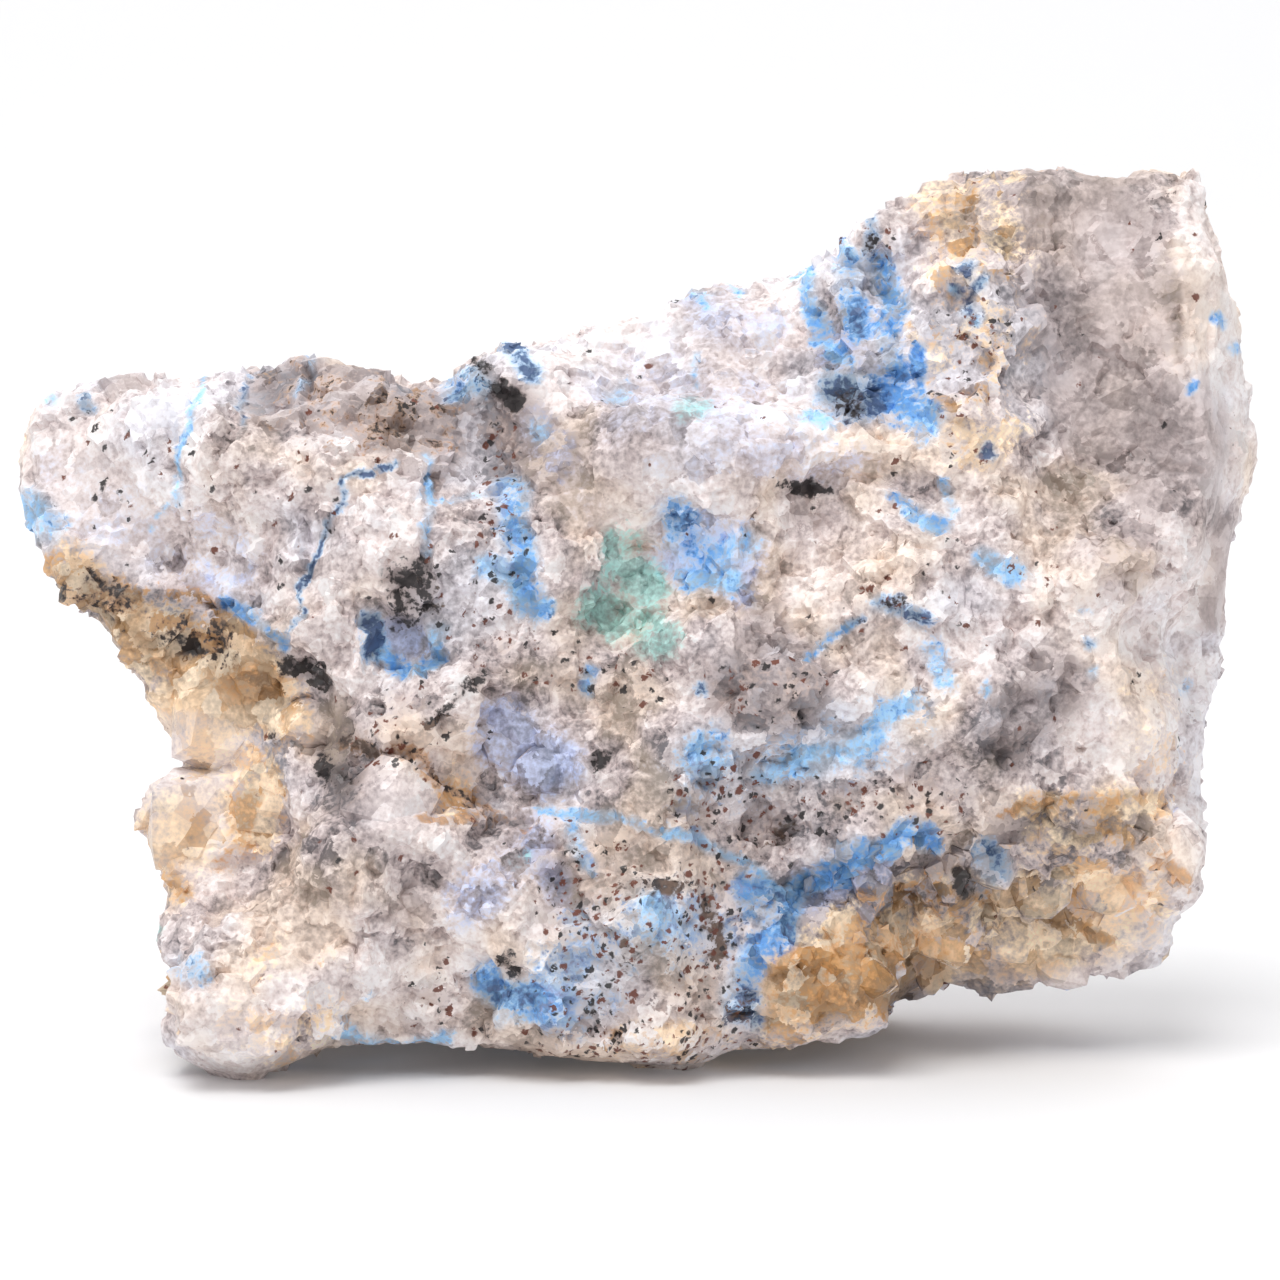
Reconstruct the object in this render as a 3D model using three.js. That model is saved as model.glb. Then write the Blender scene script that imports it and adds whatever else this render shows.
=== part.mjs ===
// A hand-sized lump of raw linarite: one broken block of pale quartz rock, veined and stained with
// the blue mineral. It grew as one piece, so it is one closed solid with the block's outline, its
// fracture planes, ledges, hollows, quartz knobs and the small flats that it stands on.
//
// The block is drawn square to its broad face: x to the right, y up the face and z out of it.
// The face leans back a little, so the finished mesh is turned up to stand on z = 0.
import * as THREE from "three";
import { mergeVertices } from "three/addons/utils/BufferGeometryUtils.js";

// Driving dimensions, in millimetres and degrees.
const FACE_LEAN = 7; // the broad face leans back from upright
const FACE_HEIGHT = 28.9; // the middle of the face above the surface that the rock stands on
const RIM = { front: 1, back: -9 }; // the outline keeps its full width in this band and narrows outside it
const RIM_MIDDLE = -3; // the depth at which the outline was measured
const BASE_RIM = { front: 9, back: -16 }; // the band along the base, which is broader
const BASE_TOP = -14; // the rim starts to broaden at this height of the face
const BASE_BOTTOM = -25; // and has broadened by this height
const RIM_WANDER = 3; // how far the rim wanders forwards and back on its way round
const RIM_WAVE = 14; // and over what length
const FRONT_TAPER = 0.5;
const BACK_TAPER = 0.4;
const NARROWING = 420; // the block narrows towards its broad face, to a point this far in front of it
const EDGE_ROUNDING = 1.2; // how much a broken edge is worn where two faces meet
const LEDGE_SOFTNESS = 1.8; // half the width that a ledge's edge slopes over
const UNDERSIDE_GAP = 1.7; // the underside clears the surface by this between the feet
const SPHERE_DETAIL = 21; // 20 * (detail + 1)^2 triangles
const EVENING_ROUNDS = 8; // passes that even out the triangles over the surface
const HEART = { at: [2, -3, -4], half: [27, 17] }; // a flat oval inside the block that rays start from
const BALL = [41.5, 26, 13]; // half widths of the smooth ball round the heart that the rays fan through
const REACH = 4; // a ray ends at this many times its length from the heart to that ball
const HALVINGS = 18; // of that reach, to find the skin along a ray
const MERGE_GAP = 1e-5; // corners of the ball closer than this are one corner
const SEEDS = { points: 11, lumps: 5, grain: 9, rim: 21, underside: 77 }; // of the noise for each

const LEAN = THREE.MathUtils.degToRad(FACE_LEAN);

// The block's outline square to the broad face, clockwise from its left tip.
const OUTLINE = [
  [-43.9, 11.2], [-43.5, 14.8], [-42.6, 16.7], [-41.2, 17.5], [-39.2, 16.9], [-37.5, 17.9],
  [-36.0, 18.7], [-34.3, 18.9], [-31.5, 18.3], [-30.5, 18.9], [-27.3, 18.8], [-25.6, 19.5],
  [-23.8, 19.8], [-20.7, 19.5], [-18.9, 18.9], [-17.2, 18.0], [-15.1, 17.4], [-14.0, 17.9],
  [-12.7, 18.9], [-11.9, 20.0], [-11.1, 20.3], [-7.0, 20.3], [-5.6, 20.7], [-4.4, 21.8],
  [-2.8, 22.3], [0.4, 22.7], [2.5, 23.5], [3.5, 24.9], [9.8, 24.9], [11.2, 25.9],
  [12.9, 26.5], [13.3, 27.7], [14.6, 28.1], [15.2, 29.3], [16.7, 30.2], [18.2, 30.6],
  [19.6, 31.6], [21.4, 32.3], [25.2, 32.9], [27.3, 33.5], [29.8, 33.6], [31.9, 33.0],
  [35.7, 33.0], [37.8, 33.3], [39.4, 33.1], [39.8, 31.6], [40.0, 29.4], [40.7, 27.3],
  [41.5, 24.5], [42.1, 22.4], [42.2, 19.6], [42.7, 17.5], [43.1, 14.4], [42.8, 11.9],
  [42.4, 9.1], [41.7, 7.0], [41.3, 4.2], [40.7, 1.1], [40.6, -2.8], [39.6, -5.5],
  [39.4, -8.4], [39.1, -10.5], [39.6, -13.7], [39.6, -15.5], [38.8, -17.9], [37.1, -22.1],
  [35.0, -23.2], [30.8, -24.2], [27.3, -25.1], [24.2, -25.5], [18.2, -25.5], [16.9, -26.9],
  [15.8, -27.4], [11.2, -28.1], [8.8, -28.7], [7.0, -28.5], [5.3, -29.5], [3.5, -29.9],
  [-5.6, -29.5], [-7.0, -28.9], [-10.9, -29.2], [-14.0, -28.7], [-18.9, -28.7], [-23.8, -29.1],
  [-24.9, -30.0], [-27.0, -30.9], [-28.8, -30.7], [-29.9, -30.0], [-33.0, -28.6], [-33.4, -26.3],
  [-32.8, -24.7], [-33.4, -22.8], [-33.9, -20.7], [-33.0, -17.9], [-33.0, -16.8], [-34.3, -14.7],
  [-35.2, -12.4], [-33.6, -10.3], [-31.0, -9.4], [-30.6, -8.8], [-32.3, -7.1], [-33.3, -5.6],
  [-34.3, -3.5], [-35.8, -1.1], [-36.3, 0.3], [-37.5, 0.9], [-39.2, 1.8], [-39.9, 3.0],
  [-40.8, 4.6], [-41.4, 6.5], [-42.7, 8.1], [-43.4, 9.8],
];

// Fracture planes that bound the block in front and behind: a point on each and the way it faces.
const FRACTURE_PLANES = [
  { name: "broad face", through: [0, -6, 10], facing: [0.02, 0.07, 1] },
  { name: "upper face", through: [0, 13, 7.5], facing: [-0.04, 0.42, 1] },
  { name: "left face", through: [-24, 4, 7.5], facing: [-0.3, 0.1, 1] },
  { name: "right face", through: [29, 6, 9], facing: [0.14, -0.05, 1] },
  { name: "right end", through: [38.5, 16, 6], facing: [0.85, 0.1, 0.6] },
  { name: "peak", through: [30, 29, 4.5], facing: [0, 0.72, 0.7] },
  { name: "lower lip", through: [0, -27.5, 8.5], facing: [0, -0.5, 0.85] },
  { name: "broad back", through: [0, -4, -17.5], facing: [0.05, 0.06, -1] },
  { name: "back of the peak", through: [24, 18, -15], facing: [0.18, 0.27, -0.95] },
  { name: "back of the left end", through: [-27, 2, -14], facing: [-0.32, 0.12, -0.95] },
  { name: "back of the shoulder", through: [-8, 14, -14], facing: [-0.12, 0.4, -0.9] },
  { name: "back of the right end", through: [36, -6, -12.5], facing: [0.72, -0.16, -0.7] },
];

// Regions of the broad face that broke off lower, each down to a plane of its own.
const LEDGES = [
  {
    name: "crystal hollow under the front slab",
    edge: [
      [16.5, -14.6], [18.2, -13.4], [23, -14.7], [27, -11.1], [32.6, -11], [43, -10.4],
      [43, -20], [36, -26], [18, -28], [17.5, -21],
    ],
    through: [27, -14, 5.6],
    facing: [0.12, -0.55, 0.8],
  },
  {
    name: "honey quartz face on the left",
    edge: [
      [-37, -3.5], [-27, -3.2], [-21.8, -8.2], [-26.4, -16], [-28, -17.2], [-36, -18.5], [-37, -11],
    ],
    through: [-29, -9, 3.2],
    facing: [-0.45, -0.05, 0.85],
  },
  {
    name: "weathered brown face on the left",
    edge: [
      [-44, 6.6], [-36, 5], [-28, 1.6], [-23.6, -0.8], [-21.5, -3.6], [-22, -8], [-27, -3.2],
      [-38, -3.4],
    ],
    through: [-31, 0, 3.8],
    facing: [-0.42, -0.42, 0.8],
  },
  {
    name: "quartz step along the top",
    edge: [
      [-7, 18.2], [-2.8, 16.8], [0, 17.5], [3.5, 19], [8.4, 18.9], [11.2, 17.1], [13.4, 14],
      [13.4, 24], [9.8, 27], [-6, 24],
    ],
    through: [4, 19, 2.6],
    facing: [0, 0.6, 0.8],
  },
  {
    name: "blue vein hollow",
    edge: [
      [11.2, 25.5], [16.5, 29.5], [18.6, 26], [20, 17], [19.4, 14.3], [13.4, 15.4], [12, 21],
    ],
    through: [16, 20, 3],
    facing: [0.05, 0.35, 0.9],
  },
];

// Swellings (above 0) and hollows (below 0) of the broad face: middle, half widths, turn and height.
const SWELLING_SHOULDER = 1.5; // how steeply each drops at its edge
const SWELLINGS = [
  { name: "scoop under the peak", at: [33.5, 17], half: [5, 9], turn: 14, height: -3.6 },
  { name: "rib beside the scoop", at: [38, 20], half: [2.4, 10], turn: 10, height: 1.8 },
  { name: "crease under the scoop", at: [35, 12.3], half: [6.5, 2.2], turn: 8, height: -2 },
  { name: "beige swell", at: [23, 19], half: [4.5, 10], turn: 4, height: 2.2 },
  { name: "lower right swell", at: [31, 1], half: [10, 7], turn: 0, height: 2 },
  { name: "green quartz lump", at: [1.5, 14.5], half: [6, 3.8], turn: -12, height: 2.6 },
  { name: "white quartz lump", at: [9.5, 15.5], half: [4.5, 3.4], turn: -20, height: 2.4 },
  { name: "green hollow", at: [0.5, 4.2], half: [4.4, 3.4], turn: 20, height: -2.6 },
  { name: "lavender hollow", at: [-9.5, -7.5], half: [5.5, 3.8], turn: 15, height: -2.4 },
  { name: "round blue pocket", at: [-17, 0.5], half: [3.4, 3.2], turn: 0, height: -2 },
  { name: "white quartz block", at: [-17.5, -13], half: [4.4, 4.4], turn: 20, height: 2.6 },
  { name: "lower left swell", at: [-24, -21], half: [8, 8], turn: 0, height: 2.4 },
  { name: "dark hollow", at: [28, -5.4], half: [4.2, 3.2], turn: -25, height: -2.2 },
  { name: "speckled swell", at: [-1, -22], half: [8, 5.5], turn: 5, height: 1.8 },
  { name: "upper left swell", at: [-25, 12], half: [7, 5], turn: -8, height: 2 },
  { name: "middle swell", at: [11, -3], half: [7, 6], turn: 10, height: 1.8 },
];

// Clefts between the masses of quartz: route, half width and depth.
const CLEFTS = [
  { name: "knob cleft", route: [[-21.3, -7.5], [-22, -10.5], [-26.5, -16]], half: 2, depth: 2.8 },
  { name: "slab cleft", route: [[13, -17.5], [7.5, -19.5], [6, -24]], half: 1.9, depth: 2 },
  { name: "shoulder cleft", route: [[-14.5, 17], [-11, 13], [-8.5, 6]], half: 2, depth: 2.4 },
  { name: "base cleft", route: [[-22, -26], [-17, -26.2], [-10, -26.8]], half: 1.8, depth: 1.6 },
];

// Knobs of glassy quartz that stand out of the block: middle, half size and a seed for their faces.
const KNOBS = [
  { name: "upper honey knob", at: [-29.5, -6, -0.5], half: [5, 3.4, 5], seed: 3 },
  { name: "lower honey knob", at: [-30, -12.8, 0], half: [5.4, 4, 5.4], seed: 8 },
  { name: "front foot", at: [-27.4, -26, 8.6], half: [6.2, 6.6, 6.4], seed: 5 },
  { name: "right white knob", at: [36.8, -14.6, 0.5], half: [3.2, 3.4, 4], seed: 11 },
  { name: "hollow crystal one", at: [21.5, -16.4, 4.6], half: [2.4, 2.2, 2.4], seed: 14 },
  { name: "hollow crystal two", at: [27.5, -15.4, 3.6], half: [2.8, 2.4, 2.6], seed: 21 },
  { name: "ochre lump", at: [11.5, -24.6, 5.2], half: [5.6, 3.6, 4], seed: 24 },
  { name: "back knob", at: [12, -8, -15], half: [8, 7, 5], seed: 31 },
  { name: "back left knob", at: [-20, -12, -11], half: [8, 7, 5.4], seed: 37 },
];
const KNOB_FACES = 16;
const KNOB_REACH = { least: 0.82, spread: 0.3 }; // how far out its faces lie, as shares of its half size
const KNOB_ROUNDING = 1.5; // how far a knob runs out into the block round its root

// Where the underside comes down to the surface, as x and y on the surface: middle and half width.
const FEET = [
  { name: "front foot", at: [-27.5, -13.5], half: 6 },
  { name: "middle foot", at: [3, -9], half: 5.5 },
  { name: "back foot", at: [10.5, 11], half: 6 },
  { name: "back left foot", at: [-21, 10.5], half: 5.5 },
];
const FOOT_DROP = 5; // how far a foot would reach down if the surface didn't stop it
const UNDERSIDE_RISE = { from: 15, slope: 0.22 }; // the underside climbs towards the right end
const UNDERSIDE_WAVE = { size: 4, height: 0.5 };

// Roughness of the broken surface: flat-sided points, then lumps, then grain.
const POINT_SIZE = 8;
const POINT_HEIGHT = 3.4;
const POINT_LEVEL = 0.6; // the surface is neither raised nor sunk at this distance from a tip
const POINT_SKEW = 0.4; // turns the points' flat sides away from the axes
const LUMP_SIZE = 9;
const LUMP_HEIGHT = 0.6;
const GRAIN_SIZE = 4;
const GRAIN_HEIGHT = 0.5;
const RIM_CREST = 0.6; // round the sides the roughness only cuts in below this height
const RIM_INSET = 3; // the line that makes the outline lies this far behind the front of the rim
const RIM_SPARED = 4.5; // and the roughness comes in over this distance from that line

// A repeatable number from 0 to 1 for a lattice point. Large odd factors mix its bits.
function scatter(i, j, k, seed) {
  let h = Math.imul(i, 374761393) ^ Math.imul(j, 668265263) ^ Math.imul(k, 1442695041);
  h = Math.imul(h ^ Math.imul(seed, 974634777), 1274126177);
  h = Math.imul(h ^ (h >>> 15), 2246822519);
  return ((h ^ (h >>> 13)) >>> 0) / 2 ** 32;
}

// Smooth noise from -1 to 1.
function noise(x, y, z, seed) {
  const [i, j, k] = [Math.floor(x), Math.floor(y), Math.floor(z)];
  const ease = (t) => t * t * (3 - 2 * t);
  const [fx, fy, fz] = [ease(x - i), ease(y - j), ease(z - k)];
  const { lerp } = THREE.MathUtils;
  const row = (dj, dk) =>
    lerp(scatter(i, j + dj, k + dk, seed), scatter(i + 1, j + dj, k + dk, seed), fx);
  return 2 * lerp(lerp(row(0, 0), row(1, 0), fy), lerp(row(0, 1), row(1, 1), fy), fz) - 1;
}

const STEPS = [-1, 0, 1];
const NEARBY_CELLS = STEPS.flatMap((i) => STEPS.flatMap((j) => STEPS.map((k) => [i, j, k])));

// Depth below the nearest of the blunt crystal points that a jittered lattice scatters. Distance is
// measured along the axes and summed, so that each point has flat sides.
function crystalPoints(x, y, z, seed) {
  let nearest = Infinity;
  for (const [di, dj, dk] of NEARBY_CELLS) {
    const [i, j, k] = [Math.floor(x) + di, Math.floor(y) + dj, Math.floor(z) + dk];
    const [dx, dy, dz] = [x - i, y - j, z - k].map((d, axis) => d - scatter(i, j, k, seed + axis));
    const across = Math.abs(dx + POINT_SKEW * dy) + Math.abs(dy - POINT_SKEW * dx);
    nearest = Math.min(nearest, across + Math.abs(dz));
  }
  return nearest;
}

// Distance from (x, y) to the segment from a to b.
function segmentDistance(x, y, a, b) {
  const [dx, dy] = [b[0] - a[0], b[1] - a[1]];
  const t = THREE.MathUtils.clamp(((x - a[0]) * dx + (y - a[1]) * dy) / (dx * dx + dy * dy), 0, 1);
  return Math.hypot(x - a[0] - t * dx, y - a[1] - t * dy);
}

// Distance from (x, y) to a closed outline, below 0 inside it.
function outlineDistance(x, y, outline) {
  let nearest = Infinity;
  let inside = false;
  let a = outline[outline.length - 1];
  for (const b of outline) {
    nearest = Math.min(nearest, segmentDistance(x, y, a, b));
    const crosses = a[1] > y !== b[1] > y;
    if (crosses && x < a[0] + ((b[0] - a[0]) * (y - a[1])) / (b[1] - a[1])) inside = !inside;
    a = b;
  }
  return inside ? -nearest : nearest;
}

// The larger of two values, eased over a width where they are close.
function smoothMax(a, b, width) {
  const near = Math.max(width - Math.abs(a - b), 0) / width;
  return Math.max(a, b) + (near * near * width) / 4;
}

// How far (x, y, z) is outside a plane.
function planeDistance(x, y, z, { through, facing }) {
  const [dx, dy, dz] = [x - through[0], y - through[1], z - through[2]];
  return (dx * facing[0] + dy * facing[1] + dz * facing[2]) / Math.hypot(...facing);
}

// A knob is bounded by flat faces square to directions that a spiral spreads over a ball.
function knobFaces({ half, seed }) {
  const golden = Math.PI * (3 - Math.sqrt(5));
  return Array.from({ length: KNOB_FACES }, (_, n) => {
    const up = 1 - (2 * n + 1) / KNOB_FACES;
    const turn = golden * n + seed;
    const across = Math.sqrt(1 - up * up);
    const out = KNOB_REACH.least + KNOB_REACH.spread * scatter(n, seed, 0, seed);
    return [(across * Math.cos(turn)) / half[0], (across * Math.sin(turn)) / half[1], up / half[2], out];
  });
}

const KNOB_PLANES = KNOBS.map((knob) => ({ ...knob, faces: knobFaces(knob) }));

function knobDistance(x, y, z, { at, half, faces }) {
  let outside = -Infinity;
  for (const [a, b, c, out] of faces) {
    outside = Math.max(outside, a * (x - at[0]) + b * (y - at[1]) + c * (z - at[2]) - out);
  }
  return outside * Math.min(...half);
}

// How far the broad face swells or sinks at (x, y).
function swelling(x, y) {
  const lumps = SWELLINGS.reduce((sum, { at, half, turn, height }) => {
    const a = THREE.MathUtils.degToRad(turn);
    const along = ((x - at[0]) * Math.cos(a) + (y - at[1]) * Math.sin(a)) / half[0];
    const across = ((y - at[1]) * Math.cos(a) - (x - at[0]) * Math.sin(a)) / half[1];
    return sum + height * Math.exp(-((along * along + across * across) ** SWELLING_SHOULDER));
  }, 0);
  return CLEFTS.reduce((sum, { route, half, depth }) => {
    const gaps = route.slice(1).map((b, n) => segmentDistance(x, y, route[n], b));
    return sum - depth * Math.exp(-((Math.min(...gaps) / half) ** 2));
  }, lumps);
}

// Height of the underside above the surface that the rock stands on, at (x, y) of that surface.
function undersideHeight(x, y) {
  const rise = UNDERSIDE_RISE.slope * Math.max(0, x - UNDERSIDE_RISE.from);
  const drops = FEET.map(({ at, half }) => {
    const away = Math.hypot(x - at[0], y - at[1]) / half;
    return FOOT_DROP * Math.exp(-(away ** 2));
  });
  const wave = noise(x / UNDERSIDE_WAVE.size, y / UNDERSIDE_WAVE.size, 0, SEEDS.underside);
  return UNDERSIDE_GAP + rise - Math.max(...drops) + UNDERSIDE_WAVE.height * wave;
}

// From the broad face's axes to those of the standing rock.
function standing(x, y, z) {
  return [
    x,
    y * Math.sin(LEAN) - z * Math.cos(LEAN),
    FACE_HEIGHT + y * Math.cos(LEAN) + z * Math.sin(LEAN),
  ];
}

// Height of the broken surface's roughness at a point of the skin.
function roughness({ x, y, z }) {
  const point = crystalPoints(x / POINT_SIZE, y / POINT_SIZE, z / POINT_SIZE, SEEDS.points);
  return (
    POINT_HEIGHT * (POINT_LEVEL - point) +
    LUMP_HEIGHT * noise(x / LUMP_SIZE, y / LUMP_SIZE, z / LUMP_SIZE, SEEDS.lumps) +
    GRAIN_HEIGHT * noise(x / GRAIN_SIZE, y / GRAIN_SIZE, z / GRAIN_SIZE, SEEDS.grain)
  );
}

// The band in depth where the block has its full outline, near (x, y) of that outline.
function rimBand(x, y) {
  const low = THREE.MathUtils.smoothstep(-y, -BASE_TOP, -BASE_BOTTOM);
  const shift = (1 - low) * RIM_WANDER * noise(x / RIM_WAVE, y / RIM_WAVE, 0, SEEDS.rim);
  return {
    front: THREE.MathUtils.lerp(RIM.front, BASE_RIM.front, low) + shift,
    back: THREE.MathUtils.lerp(RIM.back, BASE_RIM.back, low) + shift,
  };
}

// The rock as a function of a point on the face's axes: below 0 inside it and above 0 outside.
function rock(x, y, z) {
  const widening = 1 + (z - RIM_MIDDLE) / NARROWING;
  const outline = outlineDistance(x * widening, y * widening, OUTLINE);
  const rim = rimBand(x, y);
  const frontTaper = FRONT_TAPER * Math.max(0, z - rim.front);
  const backTaper = BACK_TAPER * Math.max(0, rim.back - z);
  const relief = swelling(x, y);
  let broken = -Infinity;
  for (const plane of FRACTURE_PLANES) {
    const raised = plane.facing[2] > 0 ? relief : 0;
    broken = smoothMax(broken, planeDistance(x, y, z - raised, plane), EDGE_ROUNDING);
  }
  for (const ledge of LEDGES) {
    const within = -outlineDistance(x, y, ledge.edge);
    const share = THREE.MathUtils.smoothstep(within, -LEDGE_SOFTNESS, LEDGE_SOFTNESS);
    const lower = planeDistance(x, y, z - relief, ledge);
    broken = THREE.MathUtils.lerp(broken, Math.max(broken, lower), share);
  }
  let solid = smoothMax(broken, outline + frontTaper + backTaper, EDGE_ROUNDING);
  for (const knob of KNOB_PLANES) {
    const within = smoothMax(knobDistance(x, y, z, knob), outline, EDGE_ROUNDING);
    solid = -smoothMax(-solid, -within, KNOB_ROUNDING);
  }
  const [sx, sy, sz] = standing(x, y, z);
  return Math.max(solid, undersideHeight(sx, sy) - sz);
}

// The point at a share of the ray that goes from the heart through a point of the ball: 0 is on the
// heart and 1 is on the ball. Both are given from the middle of the heart.
function alongRay(onBall, share) {
  const spread = HEART.half.map((half, axis) => half + share * (BALL[axis] - half));
  return new THREE.Vector3(
    HEART.at[0] + (onBall.x * spread[0]) / BALL[0],
    HEART.at[1] + (onBall.y * spread[1]) / BALL[1],
    HEART.at[2] + onBall.z * share,
  );
}

// The largest share of a reach at which a test still holds.
function lastShare(test) {
  let [near, far] = [0, REACH];
  for (let n = 0; n < HALVINGS; n++) {
    const middle = (near + far) / 2;
    [near, far] = test(middle) ? [middle, far] : [near, middle];
  }
  return near;
}

// The point of the ball whose ray goes through a point of the block.
function rayThrough(point) {
  const [x, y, z] = HEART.at.map((at, axis) => point.getComponent(axis) - at);
  const widths = (share) => [
    HEART.half[0] + share * (BALL[0] - HEART.half[0]),
    HEART.half[1] + share * (BALL[1] - HEART.half[1]),
    BALL[2] * share,
  ];
  const share = lastShare((s) => {
    const [a, b, c] = widths(s);
    return (x / a) ** 2 + (y / b) ** 2 + (z / c) ** 2 > 1;
  });
  const [a, b, c] = widths(share);
  return new THREE.Vector3((x / a) * BALL[0], (y / b) * BALL[1], (z / c) * BALL[2]);
}

// The point where a ray leaves the rock. A ray that would pass the surface that the rock stands on
// stops there, which makes the flats of the feet.
function skinPoint(onBall) {
  return alongRay(
    onBall,
    lastShare((share) => {
      const { x, y, z } = alongRay(onBall, share);
      return rock(x, y, z) < 0 && standing(x, y, z)[2] > 0;
    }),
  );
}

// A point of the skin moved out or in by the roughness there, and not through the surface below.
function roughened(point, normals, n) {
  const outward = new THREE.Vector3().fromBufferAttribute(normals, n);
  const height = (p) => standing(p.x, p.y, p.z)[2];
  const rough = roughness(point);
  const fromRim = Math.abs(point.z - rimBand(point.x, point.y).front + RIM_INSET);
  const cut = Math.min(0, rough - RIM_CREST) * THREE.MathUtils.smoothstep(fromRim, 0, RIM_SPARED);
  const step = THREE.MathUtils.lerp(cut, rough, Math.abs(outward.z));
  const settled = THREE.MathUtils.smoothstep(height(point), 0, UNDERSIDE_GAP);
  const moved = point.clone().addScaledVector(outward, step * settled);
  const sunk = Math.max(0, -height(moved));
  return moved.add(new THREE.Vector3(0, sunk * Math.cos(LEAN), sunk * Math.sin(LEAN)));
}

// The rock's skin: a ball of even triangles, each corner moved out along its ray to the skin.
function rockGeometry() {
  const ball = new THREE.IcosahedronGeometry(1, SPHERE_DETAIL);
  ball.deleteAttribute("normal");
  ball.deleteAttribute("uv");
  const mesh = mergeVertices(ball, MERGE_GAP);
  const { position } = mesh.attributes;
  const triangles = mesh.index.array;
  const neighbours = Array.from({ length: position.count }, () => new Set());
  for (let n = 0; n < triangles.length; n += 3) {
    const corners = [triangles[n], triangles[n + 1], triangles[n + 2]];
    corners.forEach((a) => corners.forEach((b) => a !== b && neighbours[a].add(b)));
  }
  const widths = new THREE.Vector3(...BALL);
  const onBall = (n) => new THREE.Vector3().fromBufferAttribute(position, n).multiply(widths);
  let points = Array.from({ length: position.count }, (_, n) => skinPoint(onBall(n)));
  for (let round = 0; round < EVENING_ROUNDS; round++) {
    points = points.map((_, n) => {
      const middle = new THREE.Vector3();
      neighbours[n].forEach((other) => middle.add(points[other]));
      return skinPoint(rayThrough(middle.divideScalar(neighbours[n].size)));
    });
  }
  mesh.setFromPoints(points);
  mesh.computeVertexNormals();
  mesh.setFromPoints(points.map((point, n) => roughened(point, mesh.attributes.normal, n)));
  mesh.computeVertexNormals();
  return mesh;
}

const stone = new THREE.MeshStandardMaterial({ color: 0xd8cfca, roughness: 0.8, metalness: 0 });
const linariteRock = new THREE.Mesh(rockGeometry(), stone);
linariteRock.name = "linarite_rock";
linariteRock.rotation.x = Math.PI / 2 - LEAN;
linariteRock.position.z = FACE_HEIGHT;

// The origin is on the surface that the rock stands on, under the middle of its bounding box.
const specimen = new THREE.Group();
specimen.add(linariteRock);
specimen.updateMatrixWorld(true);
const middle = new THREE.Box3().setFromObject(linariteRock, true).getCenter(new THREE.Vector3());
specimen.position.set(-middle.x, -middle.y, 0);

export default specimen;
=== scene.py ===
import math

import bmesh
import bpy
import numpy as np
from mathutils import Euler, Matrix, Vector


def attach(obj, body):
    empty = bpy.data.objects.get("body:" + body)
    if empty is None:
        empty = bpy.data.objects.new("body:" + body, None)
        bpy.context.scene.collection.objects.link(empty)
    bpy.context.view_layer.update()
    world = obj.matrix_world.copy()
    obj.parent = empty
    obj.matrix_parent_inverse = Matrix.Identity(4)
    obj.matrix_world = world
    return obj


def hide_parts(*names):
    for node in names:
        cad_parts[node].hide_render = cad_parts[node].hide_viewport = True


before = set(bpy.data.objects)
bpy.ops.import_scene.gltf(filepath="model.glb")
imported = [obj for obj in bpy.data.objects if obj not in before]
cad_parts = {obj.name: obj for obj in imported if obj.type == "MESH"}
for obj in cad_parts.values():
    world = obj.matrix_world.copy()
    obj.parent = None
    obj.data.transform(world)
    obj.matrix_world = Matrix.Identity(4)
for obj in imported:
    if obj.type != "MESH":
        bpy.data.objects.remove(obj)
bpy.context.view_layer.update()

# The camera stands square to the broad face and a little above it, as for a close-up of a hand specimen.
# Its picture is 1280 pixels across, and at the rock's outline one pixel is 0.07 mm.
# The markings below are placed in those pixels.
VIEW_ELEVATION = math.radians(7)
VIEW_DISTANCE = 0.420
VIEW_AIM = Vector((0.000126, -0.000912, 0.0289))
OUTLINE_DEPTH = -0.003
PICTURE_PIXELS = 1280
PIXEL_SIZE = 0.00007
SENSOR_WIDTH = 36.0
CLIP_START = 0.01

view_right = Vector((1, 0, 0))
view_up = Vector((0, math.sin(VIEW_ELEVATION), math.cos(VIEW_ELEVATION)))
view_out = Vector((0, -math.cos(VIEW_ELEVATION), math.sin(VIEW_ELEVATION)))
camera_data = bpy.data.cameras.new("camera")
camera_data.sensor_width = SENSOR_WIDTH
camera_data.lens = SENSOR_WIDTH * (VIEW_DISTANCE - OUTLINE_DEPTH) / (PICTURE_PIXELS * PIXEL_SIZE)
camera_data.clip_start = CLIP_START
camera = bpy.data.objects.new("camera", camera_data)
camera.location = VIEW_AIM + view_out * VIEW_DISTANCE
camera.rotation_euler = (math.pi / 2 - VIEW_ELEVATION, 0, 0)
bpy.context.scene.collection.objects.link(camera)
bpy.context.scene.camera = camera


def picture_place(points):
    """Where points of the rock lie in the picture, in pixels from its top left."""
    offset = points - np.array(VIEW_AIM)
    out = offset @ np.array(view_out)
    scale = (VIEW_DISTANCE - OUTLINE_DEPTH) / (VIEW_DISTANCE - out) / PIXEL_SIZE
    x = PICTURE_PIXELS / 2 + offset @ np.array(view_right) * scale
    y = PICTURE_PIXELS / 2 - offset @ np.array(view_up) * scale
    return x, y


# The block is one broken lump of vein quartz, a mass of glassy grains grown together.
# Its skin is the solid's own, remade in small even triangles and worn smooth between the solid's edges.
# Milky and cleaved places are calmer: they are worn smoother and keep less relief.
MERGE_DISTANCE = 1e-6
SKIN_STEP = 0.00047
WEAR = 0.5
WEAR_ROUNDS = 4
CALM_ROUNDS = 40
CALM_FADE = 0.6
CALM_RELIEF = 0.3
FOOT_HEIGHT = 0.0003
FOOT_BLEND = 0.003

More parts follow.
